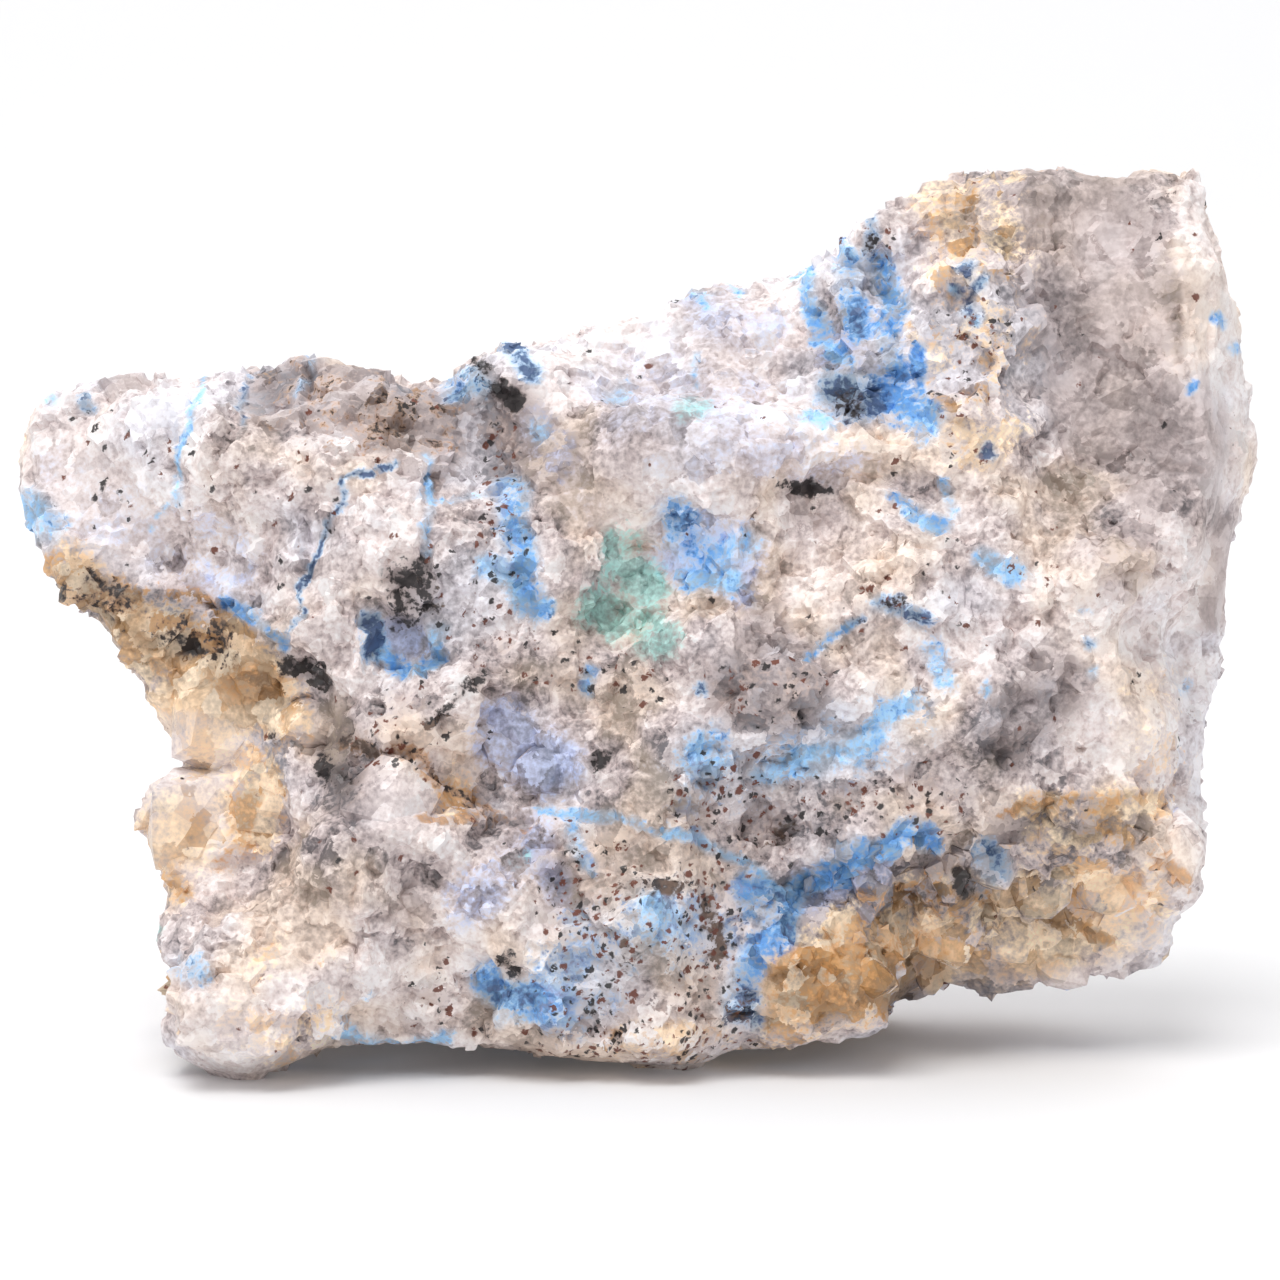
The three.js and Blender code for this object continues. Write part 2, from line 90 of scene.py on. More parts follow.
solid_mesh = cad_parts["linarite_rock"].data.copy()
solid_mesh.materials.clear()
skin = bmesh.new()
skin.from_mesh(solid_mesh)
bmesh.ops.remove_doubles(skin, verts=skin.verts, dist=MERGE_DISTANCE)
skin.to_mesh(solid_mesh)
skin.free()
blank = bpy.data.objects.new("rock blank", solid_mesh)
bpy.context.scene.collection.objects.link(blank)
remaking = blank.modifiers.new("even skin", "REMESH")
remaking.mode = "VOXEL"
remaking.voxel_size = SKIN_STEP


def made_plain(piece, name):
    """The mesh that an object's modifiers make, with the object itself taken away."""
    bpy.context.view_layer.update()
    evaluated = piece.evaluated_get(bpy.context.evaluated_depsgraph_get())
    mesh = bpy.data.meshes.new_from_object(evaluated)
    mesh.name = name
    bpy.data.objects.remove(piece)
    return mesh


rock_mesh = made_plain(blank, "rock")
skin = bmesh.new()
skin.from_mesh(rock_mesh)
bmesh.ops.triangulate(skin, faces=skin.faces)
skin.to_mesh(rock_mesh)
skin.free()


def route_distance(x, y, route):
    """Distance in pixels from each place to a route of straight stretches, or to a single spot."""
    nearest = np.full(len(x), np.inf)
    for (ax, ay), (bx, by) in zip(route, route[1:] or route):
        length = max((bx - ax) ** 2 + (by - ay) ** 2, 1)
        share = np.clip(((x - ax) * (bx - ax) + (y - ay) * (by - ay)) / length, 0, 1)
        nearest = np.minimum(nearest, np.hypot(x - ax - share * (bx - ax), y - ay - share * (by - ay)))
    return nearest


def smoothstep(value, low, high):
    """Eases from 0 to 1 as a value goes from low to high."""
    share = np.clip((value - low) / (high - low), 0, 1)
    return share * share * (3 - 2 * share)


def drawn(marks, x, y, fade):
    """Share of what the marks draw at each place: marks are (half width, strength, route) by name."""
    share = np.zeros(len(x))
    for half, strength, route in marks.values():
        beyond = route_distance(x, y, route) / half
        share = np.maximum(share, strength * (1 - smoothstep(beyond, 1 - fade, 1 + fade)))
    return share


def per_vertex(mesh, name):
    """A vector at every vertex of a mesh, such as its place or its normal."""
    values = np.empty(len(mesh.vertices) * 3)
    mesh.vertices.foreach_get(name, values)
    return values.reshape(-1, 3)


def keep_attribute(mesh, name, values):
    """Keeps a number at every vertex of a mesh."""
    attribute = mesh.attributes.new(name, "FLOAT", "POINT")
    attribute.data.foreach_set("value", np.asarray(values, dtype=np.float32))


calm_marks = {
    "peak": (46, 0.8, [(1110, 215), (1130, 330)]),
    "scoop": (60, 0.8, [(1110, 380), (1170, 430)]),
    "right end": (30, 0.9, [(1205, 230), (1225, 420), (1215, 600)]),
    "milky top": (56, 0.6, [(570, 390), (650, 370), (740, 340)]),
    "milky middle": (46, 0.6, [(600, 480), (690, 460), (780, 440)]),
    "left end": (50, 0.6, [(60, 450), (120, 530)]),
    "upper knob": (46, 1, [(205, 725)]),
    "lower knob": (50, 1, [(180, 825)]),
    "lens": (44, 0.9, [(385, 810)]),
    "foot": (50, 0.6, [(240, 1030)]),
    "lower right": (60, 0.5, [(1120, 640), (1140, 720)]),
    "hollow's lower edge": (28, 0.8, [(900, 985), (1000, 985), (1100, 970), (1165, 950)]),
    "hollow's right": (40, 0.6, [(1080, 925), (1160, 890)]),
}
places = per_vertex(rock_mesh, "co")
ends = np.empty(len(rock_mesh.edges) * 2, dtype=int)
rock_mesh.edges.foreach_get("vertices", ends)
ends = ends.reshape(-1, 2)
links = np.bincount(ends.ravel(), minlength=len(places))[:, None]
free = places[:, 2] > FOOT_HEIGHT
front = per_vertex(rock_mesh, "normal") @ np.array(view_out) > 0
calm = drawn(calm_marks, *picture_place(places), CALM_FADE) * front
for wear in [WEAR * free] * WEAR_ROUNDS + [WEAR * free * calm] * CALM_ROUNDS:
    around = np.zeros_like(places)
    np.add.at(around, ends[:, 0], places[ends[:, 1]])
    np.add.at(around, ends[:, 1], places[ends[:, 0]])
    places += wear[:, None] * (around / links - places)
places[:, 2] = np.where(free, np.maximum(places[:, 2], 0), 0)
rock_mesh.vertices.foreach_set("co", places.ravel())
rock_mesh.update()
relief_share = smoothstep(places[:, 2], FOOT_HEIGHT, FOOT_BLEND) * (1 - (1 - CALM_RELIEF) * calm)
keep_attribute(rock_mesh, "relief_share", relief_share)


# The minerals grew through the quartz as veins, pockets and stains, and weathering stained its skin. Some
# shares below also hold painted shade in hollows, creases and faces turned away, and painted highlights on
# ridges and edges.
# Each is a share from 0 to 1 at every point: on the face in view it is placed in picture pixels,
# and on the sides and the back, which no picture shows, it follows seeded noise.
NOISE_TURN = np.array(Euler((0.6, 0.8, 0.4)).to_matrix())
NOISE_LAYERS = 3
CELL_STEPS = np.array((374761393, 668265263, 2147483647))
SEED_STEP = 974634777
SCRAMBLES = ((13, 1274126177), (16, 2246822519))
LAST_SHIFT = 15
WORD = 0xFFFFFFFF


def noise(points, size, seed):
    """Smooth noise from -1 to 1 over points, with bumps of about a given size, on a lattice turned askew."""
    turned = points @ NOISE_TURN / size
    cell = np.floor(turned).astype(np.int64)
    part = turned - cell
    part = part * part * (3 - 2 * part)
    level = np.zeros(len(points))
    for corner in np.ndindex(2, 2, 2):
        mixed = ((cell + corner) @ CELL_STEPS + seed * SEED_STEP) & WORD
        for shift, factor in SCRAMBLES:
            mixed = ((mixed ^ (mixed >> shift)) * factor) & WORD
        weight = np.prod(np.where(corner, part, 1 - part), axis=1)
        level += weight * (mixed ^ (mixed >> LAST_SHIFT)) / WORD
    return 2 * level - 1


def rough_noise(points, size, seed, fine_seed):
    """Noise with bumps of a given size, and of a third of that size at half the strength."""
    return noise(points, size, seed) + noise(points, size / 3, fine_seed) / 2


def layered(points, size, seed):
    """Noise in a few sizes, each half as wide and half as strong as the one before."""
    return sum(noise(points, size / 2**layer, seed + layer) / 2**layer for layer in range(NOISE_LAYERS))


linarite_marks = {
    "left hairline": (2.5, 0.9, [(208, 372), (196, 405), (184, 455), (176, 500), (145, 530)]),
    "second hairline": (3, 0.6, [(250, 378), (238, 418)]),
    "third hairline": (3, 0.6, [(318, 358), (292, 398)]),
    "long thread": (
        3,
        1,
        [(395, 465), (345, 485), (340, 510), (325, 525), (305, 570), (295, 590), (300, 605), (285, 635)],
    ),
    "thread's end": (6, 0.8, [(230, 605), (255, 618), (285, 645)]),
    "pale upright": (5, 0.7, [(425, 455), (430, 480), (425, 560)]),
    "pale crossing": (4, 0.6, [(415, 498), (490, 500)]),
    "azure column": (15, 1, [(512, 490), (520, 545), (525, 575), (540, 605)]),
    "column's foot": (13, 0.9, [(490, 565), (515, 580), (530, 605)]),
    "pocket's left rim": (11, 1, [(372, 618), (374, 645)]),
    "pocket's lower rim": (8, 0.9, [(374, 645), (395, 664), (420, 667), (438, 648), (436, 630)]),
    "crest left": (13, 0.8, [(452, 386), (480, 380)]),
    "crest": (11, 1, [(515, 355), (535, 372)]),
    "crest's shade": (14, 0.6, [(540, 432)]),
    "top spot": (13, 0.6, [(620, 392)]),
    "top thread": (3, 0.7, [(697, 350), (698, 385)]),
    "top edge": (8, 0.6, [(690, 285), (706, 300)]),
    "top edge right": (6, 0.5, [(735, 288)]),
    "middle pocket": (17, 0.75, [(676, 520), (690, 545), (718, 556), (745, 545)]),
    "middle pocket's foot": (12, 0.8, [(690, 578), (735, 578)]),
    "sky patch": (25, 0.65, [(705, 760)]),
    "sky band": (14, 0.85, [(905, 705), (880, 730), (850, 750), (800, 765), (770, 778)]),
    "sky haze": (44, 0.25, [(690, 775), (800, 775), (890, 725)]),
    "lower haze": (46, 0.42, [(560, 990), (650, 920), (690, 930)]),
    "slate blocks": (16, 0.6, [(985, 850), (1000, 870)]),
    "lower thread": (5, 0.8, [(540, 810), (590, 815), (640, 825), (700, 840), (760, 870), (790, 890)]),
    "lower thread's branch": (7, 0.7, [(565, 815), (590, 870)]),
    "drip": (6, 0.8, [(595, 668), (590, 692)]),
    "lower azure": (17, 0.9, [(490, 985), (520, 1000), (560, 1000)]),
    "lower azure's edge": (9, 0.8, [(500, 1012), (570, 1022)]),
    "lower pale": (15, 0.6, [(580, 915)]),
    "lower pale right": (16, 0.65, [(650, 905), (695, 930)]),
    "base edge": (7, 0.7, [(340, 1035), (400, 1045), (450, 1040)]),
    "base spot": (8, 0.5, [(370, 1000)]),
    "left foot sky": (15, 0.5, [(190, 972), (200, 968)]),
    "right column": (16, 0.95, [(748, 890), (770, 905), (785, 930), (760, 950), (745, 985)]),
    "right column's foot": (22, 1, [(745, 1003)]),
    "ledge vein": (11, 0.95, [(780, 930), (800, 890), (840, 870), (870, 850), (900, 832), (930, 840)]),
    "peak thread": (6, 0.9, [(872, 215), (870, 270)]),
    "peak left": (9, 0.8, [(805, 275), (812, 300), (825, 325)]),
    "peak main": (13, 1, [(845, 255), (850, 290), (860, 325)]),
    "peak right": (12, 0.85, [(880, 265), (895, 300), (890, 330)]),
    "peak pale": (13, 0.7, [(888, 340), (900, 372)]),
    "peak link": (8, 0.6, [(820, 340), (850, 360)]),
    "peak dark": (17, 1, [(832, 390), (868, 396)]),
    "peak foot": (16, 0.95, [(880, 390), (908, 405), (925, 420)]),
    "peak edge": (6, 0.8, [(920, 350), (925, 420)]),
    "peak far foot": (8, 0.7, [(805, 415), (830, 418)]),
    "wedge": (7, 0.9, [(895, 500), (930, 525), (945, 520)]),
    "pale wedge": (6, 0.6, [(945, 480), (958, 510)]),
    "right spot": (10, 0.9, [(980, 560), (1015, 568)]),
    "right thread": (4, 0.9, [(805, 660), (835, 635), (865, 620)]),
    "right dark streak": (9, 0.9, [(880, 610), (925, 616)]),
    "right pale": (11, 0.5, [(930, 645), (945, 680)]),
    "far navy": (6, 1, [(1090, 640)]),
    "far pale upper": (5, 0.6, [(1085, 610)]),
    "far pale lower": (6, 0.7, [(1090, 670)]),
    "far right": (8, 0.5, [(1185, 690)]),
    "edge one": (7, 0.9, [(1222, 320)]),
    "edge two": (7, 0.8, [(1238, 345)]),
    "edge three": (6, 0.8, [(1188, 383)]),
    "lone spot": (7, 0.7, [(985, 690)]),
    "lone navy": (7, 1, [(698, 693)]),
    "left tip": (15, 0.8, [(28, 500), (46, 530)]),
    "left tip top": (8, 0.6, [(52, 400)]),
    "left navy": (8, 0.9, [(92, 405)]),
}
navy_spots = [(955, 290), (975, 287), (968, 305), (980, 318), (964, 267), (993, 449)]
for spot in navy_spots:
    linarite_marks[f"navy spot {spot}"] = (8, 1, [spot])
deep_veins = (
    "long thread",
    "pocket's left rim",
    "crest",
    "peak thread",
    "peak dark",
    "right dark streak",
    "right column's foot",
    "left navy",
    "far navy",
    "lone navy",
    "slate blocks",
)
deep_marks = {name: linarite_marks[name] for name in deep_veins} | {
    "crest left": (13, 0.6, [(452, 386), (480, 380)]),
    "peak main": (10, 0.6, [(845, 255), (850, 290), (860, 325)]),
    "right spot": (8, 0.7, [(990, 562)]),
    "right column": (20, 0.45, [(770, 905), (785, 930)]),
    "middle pocket": (14, 0.5, [(680, 525), (690, 545)]),
    "lower azure": (16, 0.45, [(500, 995), (520, 1000)]),
    "left tip": (8, 0.7, [(50, 520)]),
    "navy spots upper": (16, 1, [(964, 275), (972, 310)]),
    "navy spot lower": (10, 1, [(993, 449)]),
    "hairlines": (5, 0.7, [(250, 378), (238, 418)]),
    "left foot": (14, 0.4, [(192, 968)]),
}
azure_marks = {
    "azure column": (15, 0.6, [(512, 490), (520, 545), (525, 575), (540, 605)]),
    "middle pocket": (15, 0.6, [(676, 520), (690, 545), (718, 556)]),
    "peak": (40, 0.6, [(850, 290), (885, 310), (900, 400)]),
    "ledge vein": (13, 0.6, [(780, 930), (800, 890), (840, 870), (870, 850), (900, 832), (930, 840)]),
    "right column": (22, 0.55, [(748, 890), (785, 930), (745, 985)]),
    "lower azure": (20, 0.55, [(490, 985), (560, 1010)]),
    "wedge": (8, 0.7, [(895, 500), (945, 520)]),
    "right thread": (6, 0.7, [(805, 660), (865, 620)]),
    "thread's end": (8, 0.6, [(230, 605), (285, 645)]),
    "pocket": (10, 0.6, [(395, 664), (438, 648)]),
    "edges": (9, 0.6, [(1188, 383), (1222, 320), (1238, 345)]),
    "drip": (8, 0.5, [(595, 668), (590, 692)]),
}
green_marks = {
    "grey green lens": (24, 0.8, [(620, 556), (636, 570)]),
    "turquoise": (20, 1, [(646, 586)]),
    "mint": (24, 0.85, [(606, 612), (635, 620), (660, 640)]),
    "top green": (18, 0.5, [(690, 408)]),
    "lower green": (12, 0.5, [(520, 858)]),
    "left green": (10, 0.7, [(160, 925)]),
}
lavender_marks = {
    "pocket": (24, 1, [(402, 634)]),
    "periwinkle quartz": (32, 1, [(505, 735), (545, 765)]),
    "middle pocket": (32, 1, [(690, 550), (735, 560)]),
    "middle top": (26, 0.4, [(740, 450), (850, 465)]),
    "milky top": (60, 0.35, [(640, 400), (740, 430)]),
    "milky left": (46, 0.3, [(110, 520), (220, 560)]),
    "violet": (20, 0.8, [(555, 885)]),
    "top": (28, 0.5, [(705, 310), (760, 330)]),
    "upper middle": (24, 0.4, [(540, 430), (580, 500)]),
    "lower middle": (26, 0.55, [(470, 900), (530, 835)]),
    "peak": (45, 0.4, [(860, 350)]),
    "ledge quartz": (24, 0.6, [(800, 900), (870, 870)]),
    "left tip": (30, 0.3, [(60, 470)]),
}
honey_marks = {
    "left tan edge": (40, 1, [(70, 588), (150, 640), (230, 660), (270, 700)]),
    "below the tan edge": (30, 0.9, [(180, 690), (240, 700)]),
    "hollow roof": (24, 0.6, [(1040, 840), (1110, 840)]),
    "upper knob": (46, 0.62, [(205, 730)]),
    "lower knob": (46, 0.66, [(175, 830)]),
    "knob's side": (30, 0.8, [(255, 770), (250, 830)]),
    "left foot stain": (20, 0.7, [(175, 885)]),
    "rusty cracks": (24, 0.55, [(455, 790)]),
    "right hollow": (54, 0.7, [(900, 935), (1000, 935), (1114, 904)]),
    "hollow's amber": (18, 1, [(890, 930), (945, 950), (935, 975)]),
    "base lump": (46, 1, [(790, 990), (865, 970)]),
    "ledge's foot": (26, 0.8, [(815, 950), (880, 925)]),
    "lower left": (44, 0.3, [(280, 985), (320, 1000)]),
    "right foot": (40, 0.3, [(1150, 700), (1160, 760)]),
    "right ledge": (16, 0.7, [(1030, 805), (1160, 800)]),
    "top stain": (20, 0.5, [(925, 200), (960, 235)]),
    "top stain right": (10, 0.8, [(1018, 176)]),
    "peak's left face": (56, 0.43, [(970, 210), (970, 320), (970, 410)]),
    "upper left": (44, 0.22, [(300, 390), (400, 410)]),
    "foot": (34, 0.45, [(245, 1020), (270, 1030)]),
    "base": (20, 0.4, [(620, 1045), (720, 1040)]),
}
rust_marks = {
    "left edge": (20, 1, [(100, 592), (160, 606), (215, 628)]),
    "left spot": (10, 1, [(195, 650)]),
    "left band": (18, 0.9, [(230, 680), (280, 690)]),
    "knob's cleft": (10, 0.7, [(250, 800), (225, 860)]),
    "crack": (7, 1, [(400, 752), (425, 768), (455, 795), (515, 822)]),
    "lower crack": (6, 1, [(425, 820), (470, 818), (520, 822)]),
    "upper crack": (6, 0.9, [(345, 745), (400, 752)]),
    "base lump": (40, 0.9, [(810, 985), (880, 972)]),
    "base lump left": (10, 0.7, [(770, 1020), (820, 1010)]),
    "hollow left": (20, 0.8, [(905, 940), (930, 965)]),
    "hollow middle": (7, 0.9, [(1070, 900), (1085, 925), (1110, 935)]),
    "hollow right": (7, 0.8, [(1150, 850), (1185, 890)]),
    "hollow ledge": (8, 0.8, [(860, 895), (935, 890), (990, 900)]),
    "right ledge": (6, 0.9, [(1000, 815), (1060, 800), (1110, 800)]),
    "foot": (8, 0.6, [(170, 880), (185, 895)]),
    "top": (5, 0.6, [(975, 180), (970, 235)]),
    "upper left": (44, 0.45, [(310, 388), (420, 420)]),
}
# Grey places: grey quartz, and painted shade on the peak and the right end where they turn away from the
# light, in the scoop, and a painted shadow in the crease under the overhanging block.
grey_and_shade_marks = {
    "peak": (80, 0.8, [(1060, 215), (1120, 330)]),
    "scoop": (60, 1, [(1120, 400), (1170, 440)]),
    "crease": (18, 1, [(1090, 455), (1190, 465)]),
    "peak's ridge": (14, 0.7, [(1010, 230), (1050, 330), (1065, 420)]),
    "right lower": (70, 0.35, [(1130, 560)]),
    "right end": (14, 0.6, [(1205, 430), (1222, 540), (1215, 620)]),
}
# Weathered places: brown weathered skin, and painted shade in the hollow under the slab and its roof, the
# crease, the clefts by the knobs and the shaded sides of the crest and the peak.
weathered_and_shade_marks = {
    "upper left": (46, 1, [(295, 385), (390, 405), (435, 432)]),
    "upper left edge": (15, 0.7, [(115, 380), (150, 378)]),
    "dark hollow": (30, 0.75, [(1055, 685), (1000, 745)]),
    "speckled patch": (36, 0.95, [(745, 695), (795, 695), (768, 660)]),
    "small patch": (16, 0.7, [(765, 605)]),
    "beige lump": (20, 0.5, [(800, 510)]),
    "crest": (18, 0.7, [(495, 400), (505, 420)]),
    "slate crystals": (24, 0.9, [(990, 862)]),
    "hollow crystals": (18, 0.6, [(860, 880), (930, 868)]),
    "lower left": (20, 0.6, [(410, 910)]),
    "knob cleft": (14, 0.7, [(345, 770), (340, 800)]),
    "crest shade": (40, 0.7, [(500, 420), (540, 460)]),
    "above the lens": (20, 0.6, [(330, 750), (350, 730)]),
    "crease": (6, 0.8, [(1085, 462), (1140, 457), (1200, 468)]),
    "peak shade": (24, 0.5, [(835, 350), (850, 380)]),
    "left edge": (30, 0.6, [(70, 575), (150, 618), (250, 650)]),
    "hollow roof": (22, 0.7, [(1000, 830), (1080, 830), (1130, 815)]),
    "hollow left": (30, 0.7, [(800, 935), (840, 905), (880, 900)]),
}
dark_marks = {
    "black mineral": (24, 1, [(415, 585), (412, 605)]),
    "crest one": (8, 1, [(500, 388), (518, 405)]),
    "crest two": (7, 0.9, [(476, 362), (490, 368)]),
    "knob one": (11, 1, [(290, 662), (322, 684)]),
    "knob two": (6, 1, [(270, 738)]),
    "knob three": (11, 0.9, [(325, 765), (340, 790)]),
    "knob four": (6, 0.9, [(375, 798)]),
    "left edge": (24, 0.33, [(80, 580), (160, 625), (220, 645)]),
    "left edge's grain": (8, 0.8, [(92, 575), (118, 588)]),
    "left spot": (6, 1, [(185, 640), (200, 652)]),
    "middle spot": (8, 1, [(600, 765)]),
    "middle crack": (4, 1, [(489, 672), (461, 690), (433, 723)]),
    "rusty crack": (3, 0.45, [(400, 752), (425, 768), (455, 795), (480, 812), (520, 822)]),
    "lens top": (5, 0.6, [(345, 742), (370, 748), (398, 752)]),
    "cluster band": (7, 0.45, [(640, 880), (700, 885)]),
    "drip band": (6, 0.8, [(712, 900), (714, 960)]),
    "lower crack": (4, 0.8, [(630, 940), (628, 970)]),
    "lump crack": (5, 0.9, [(775, 489), (800, 486), (828, 486)]),
    "peak": (6, 0.9, [(872, 238), (870, 250)]),
    "peak foot": (8, 0.6, [(838, 400), (858, 402)]),
    "lower spot": (8, 1, [(486, 1025)]),
    "lower left spot": (9, 0.8, [(505, 950), (515, 968)]),
    "cluster": (10, 0.6, [(620, 880), (650, 885)]),
    "hollow": (9, 0.9, [(960, 880), (970, 890)]),
    "right column's foot": (12, 0.5, [(745, 1005)]),
    # Painted shade on the underside by the base notch, just above the floor.
    "base notch shade": (10, 0.5, [(895, 992), (950, 1000)]),
    "streak": (4, 0.8, [(855, 622), (905, 606)]),
    "speckled band": (6, 0.8, [(765, 855), (790, 830)]),
    "upper left spots": (6, 0.8, [(102, 492)]),
    "upper left grains": (34, 0.28, [(310, 385), (420, 425)]),
    "left thread": (4, 0.7, [(338, 500), (318, 545)]),
}
speck_marks = {
    "sky band": (28, 0.75, [(760, 830), (860, 800), (940, 800)]),
    "sky patch": (26, 0.9, [(700, 800), (750, 780)]),
    "speckled patch": (30, 0.5, [(745, 690), (795, 690)]),
    "lower right": (34, 1, [(710, 870), (710, 1000)]),
    "lower middle": (45, 1, [(590, 880), (600, 1030)]),
    "lower left": (40, 0.5, [(430, 1000)]),
    "column": (16, 1, [(500, 430), (500, 570)]),
    "peak": (30, 0.5, [(960, 430), (980, 330)]),
    "middle": (24, 0.5, [(540, 660), (640, 690)]),
    "knobs": (30, 0.8, [(380, 745), (410, 720)]),
    "pocket": (30, 0.35, [(450, 580), (480, 640)]),
    "upper left": (60, 0.15, [(300, 480), (130, 480)]),
    "right": (60, 0.12, [(1010, 600), (900, 560)]),
    "base": (20, 1, [(540, 1050), (740, 1045)]),
    "peak edge": (8, 0.9, [(892, 225), (893, 260)]),
}
# White places: milky quartz, and painted highlights along the peak's ridge, edges and corner, on the tops,
# the right edge and side, the knobs and the foot.
white_and_highlight_marks = {
    "middle": (36, 0.5, [(640, 490)]),
    "top": (34, 0.9, [(555, 365), (640, 345)]),
    "top right": (40, 0.7, [(770, 400), (850, 460)]),
    "right knob": (22, 1, [(1185, 850)]),
    "left end": (50, 0.5, [(70, 450), (150, 540)]),
    "left quartz": (34, 0.6, [(215, 550)]),
    "lens": (30, 0.5, [(390, 790)]),
    "foot": (56, 1, [(235, 1030)]),
    "lower left": (40, 0.5, [(280, 930)]),
    "right side": (26, 0.9, [(1212, 250), (1228, 400), (1228, 480)]),
    "right": (70, 0.7, [(1120, 630), (1150, 740)]),
    "middle right": (44, 0.7, [(810, 660), (890, 690)]),
    "peak left": (44, 0.9, [(770, 310), (810, 260)]),
    "base middle": (24, 0.8, [(600, 1052), (720, 1050)]),
    "lower middle": (44, 0.7, [(500, 960), (590, 990)]),
    "base": (16, 0.5, [(420, 1045), (520, 1045)]),
    "upper knob": (50, 0.9, [(205, 735)]),
    "lower knob": (50, 0.8, [(180, 830)]),
    "right edge": (40, 1, [(1190, 570), (1180, 650), (1175, 740), (1170, 800)]),
    "right foot": (48, 0.75, [(1120, 890), (1160, 920)]),
    "lower left quartz": (60, 0.9, [(330, 970), (380, 1020)]),
    "upper left quartz": (60, 0.9, [(150, 430), (200, 520), (340, 440)]),
    "middle band": (40, 0.6, [(700, 515), (870, 525)]),
    "lower left middle": (30, 0.6, [(440, 840)]),
    "below the ledge": (20, 0.7, [(890, 930), (940, 925)]),
    "right middle": (50, 0.6, [(900, 590), (960, 640)]),
    "peak's foot": (40, 0.6, [(935, 280), (960, 350), (1000, 380)]),
    "below the peak": (36, 0.5, [(980, 510), (1010, 530)]),
    "lower right": (36, 0.6, [(670, 915), (690, 930)]),
    "peak ridge": (12, 1, [(1020, 208), (1075, 222), (1112, 236), (1140, 290), (1156, 335), (1172, 381)]),
    "peak streak": (6, 0.7, [(1100, 250), (1112, 320), (1110, 350)]),
    "peak edge": (5, 1, [(1180, 200), (1186, 290), (1196, 400)]),
    "peak corner": (6, 1, [(1198, 180), (1206, 290)]),
}
# Smoky places: darker smoky quartz, and painted shade in the hollow under the slab and its floor, the
# ledge's underside, the creases, the scoop, the recesses of the peak and the cleft by the knobs.
smoky_and_shade_marks = {
    "hollow": (40, 0.8, [(860, 890), (950, 890), (1050, 850), (1120, 830)]),
    "hollow's floor": (34, 1, [(890, 990), (1000, 975)]),
    "right column": (44, 0.8, [(750, 900), (850, 900)]),
    "crest": (40, 0.7, [(490, 410), (540, 450)]),
    "peak dark": (34, 0.6, [(820, 340), (850, 400)]),
    "left edge": (30, 0.7, [(80, 590), (170, 620), (270, 655)]),
    "upper left middle": (44, 1, [(275, 430), (285, 490)]),
    "right ledge": (40, 1, [(1040, 835), (1120, 830)]),
    "tan edge": (34, 1, [(180, 655), (235, 690)]),
    "hollow right": (40, 0.7, [(980, 930), (1080, 920)]),
    "peak top": (50, 0.5, [(1000, 200), (1110, 190), (1150, 260)]),
    "peak panel": (16, 0.9, [(1052, 265), (1085, 350)]),
    "peak recess": (11, 1, [(1040, 200), (1089, 203)]),
    "peak panel right": (8, 0.8, [(1166, 250), (1186, 370)]),
    "peak foot": (20, 0.8, [(1095, 385), (1145, 405)]),
    "scoop's left": (40, 0.5, [(1000, 420), (1040, 430)]),
    "upper middle": (46, 0.8, [(570, 430), (600, 450)]),
    "below the scoop": (50, 0.9, [(1090, 500), (1170, 510)]),
    "middle": (40, 0.5, [(590, 665), (600, 740), (590, 770)]),
    "lower middle band": (34, 0.4, [(540, 840), (620, 840), (670, 830)]),
    "base lump": (30, 0.6, [(770, 1010), (850, 1010)]),
    "crease": (26, 0.8, [(1090, 450), (1190, 465)]),
    "scoop": (50, 0.8, [(1130, 400), (1170, 440), (1160, 500)]),
    "dark hollow": (40, 0.6, [(1055, 685), (1000, 745)]),
    "lower centre": (30, 0.4, [(560, 860), (590, 868)]),
    "speckled patch": (40, 0.2, [(750, 690), (795, 690), (768, 655)]),
    "knob cleft": (36, 0.9, [(345, 750), (345, 830), (300, 870)]),
}
crystal_marks = {
    "right hollow": (48, 1, [(860, 900), (960, 905), (1060, 895), (1150, 880)]),
    "ledge quartz": (18, 0.9, [(850, 880), (920, 868), (990, 860)]),
    "honey knobs": (40, 0.5, [(200, 730), (190, 830)]),
    "lens": (40, 0.4, [(385, 812)]),
    "periwinkle quartz": (30, 0.5, [(505, 735), (545, 765)]),
    "green lens": (40, 0.4, [(640, 590)]),
    "top": (40, 0.4, [(560, 370), (720, 330)]),
}
# By name: the marks, the share of the unseen sides that it covers, and how softly its marks fade.
minerals = {
    "linarite": (linarite_marks, 0.19, 0.8),
    "deep": (deep_marks, 0.2, 0.7),
    "azure": (azure_marks, 0.4, 0.7),
    "green": (green_marks, 0.07, 0.7),
    "lavender": (lavender_marks, 0.25, 0.7),
    "honey": (honey_marks, 0.25, 0.7),
    "rust": (rust_marks, 0.16, 0.7),
    "grey": (grey_and_shade_marks, 0.3, 0.7),
    "weathered": (weathered_and_shade_marks, 0.25, 0.7),
    "dark": (dark_marks, 0.08, 0.8),
    "specks": (speck_marks, 0.35, 0.7),
    "white": (white_and_highlight_marks, 0.35, 0.7),
    "smoky_and_shade": (smoky_and_shade_marks, 0.3, 0.7),
    "crystals": (crystal_marks, 0.1, 0.7),
}

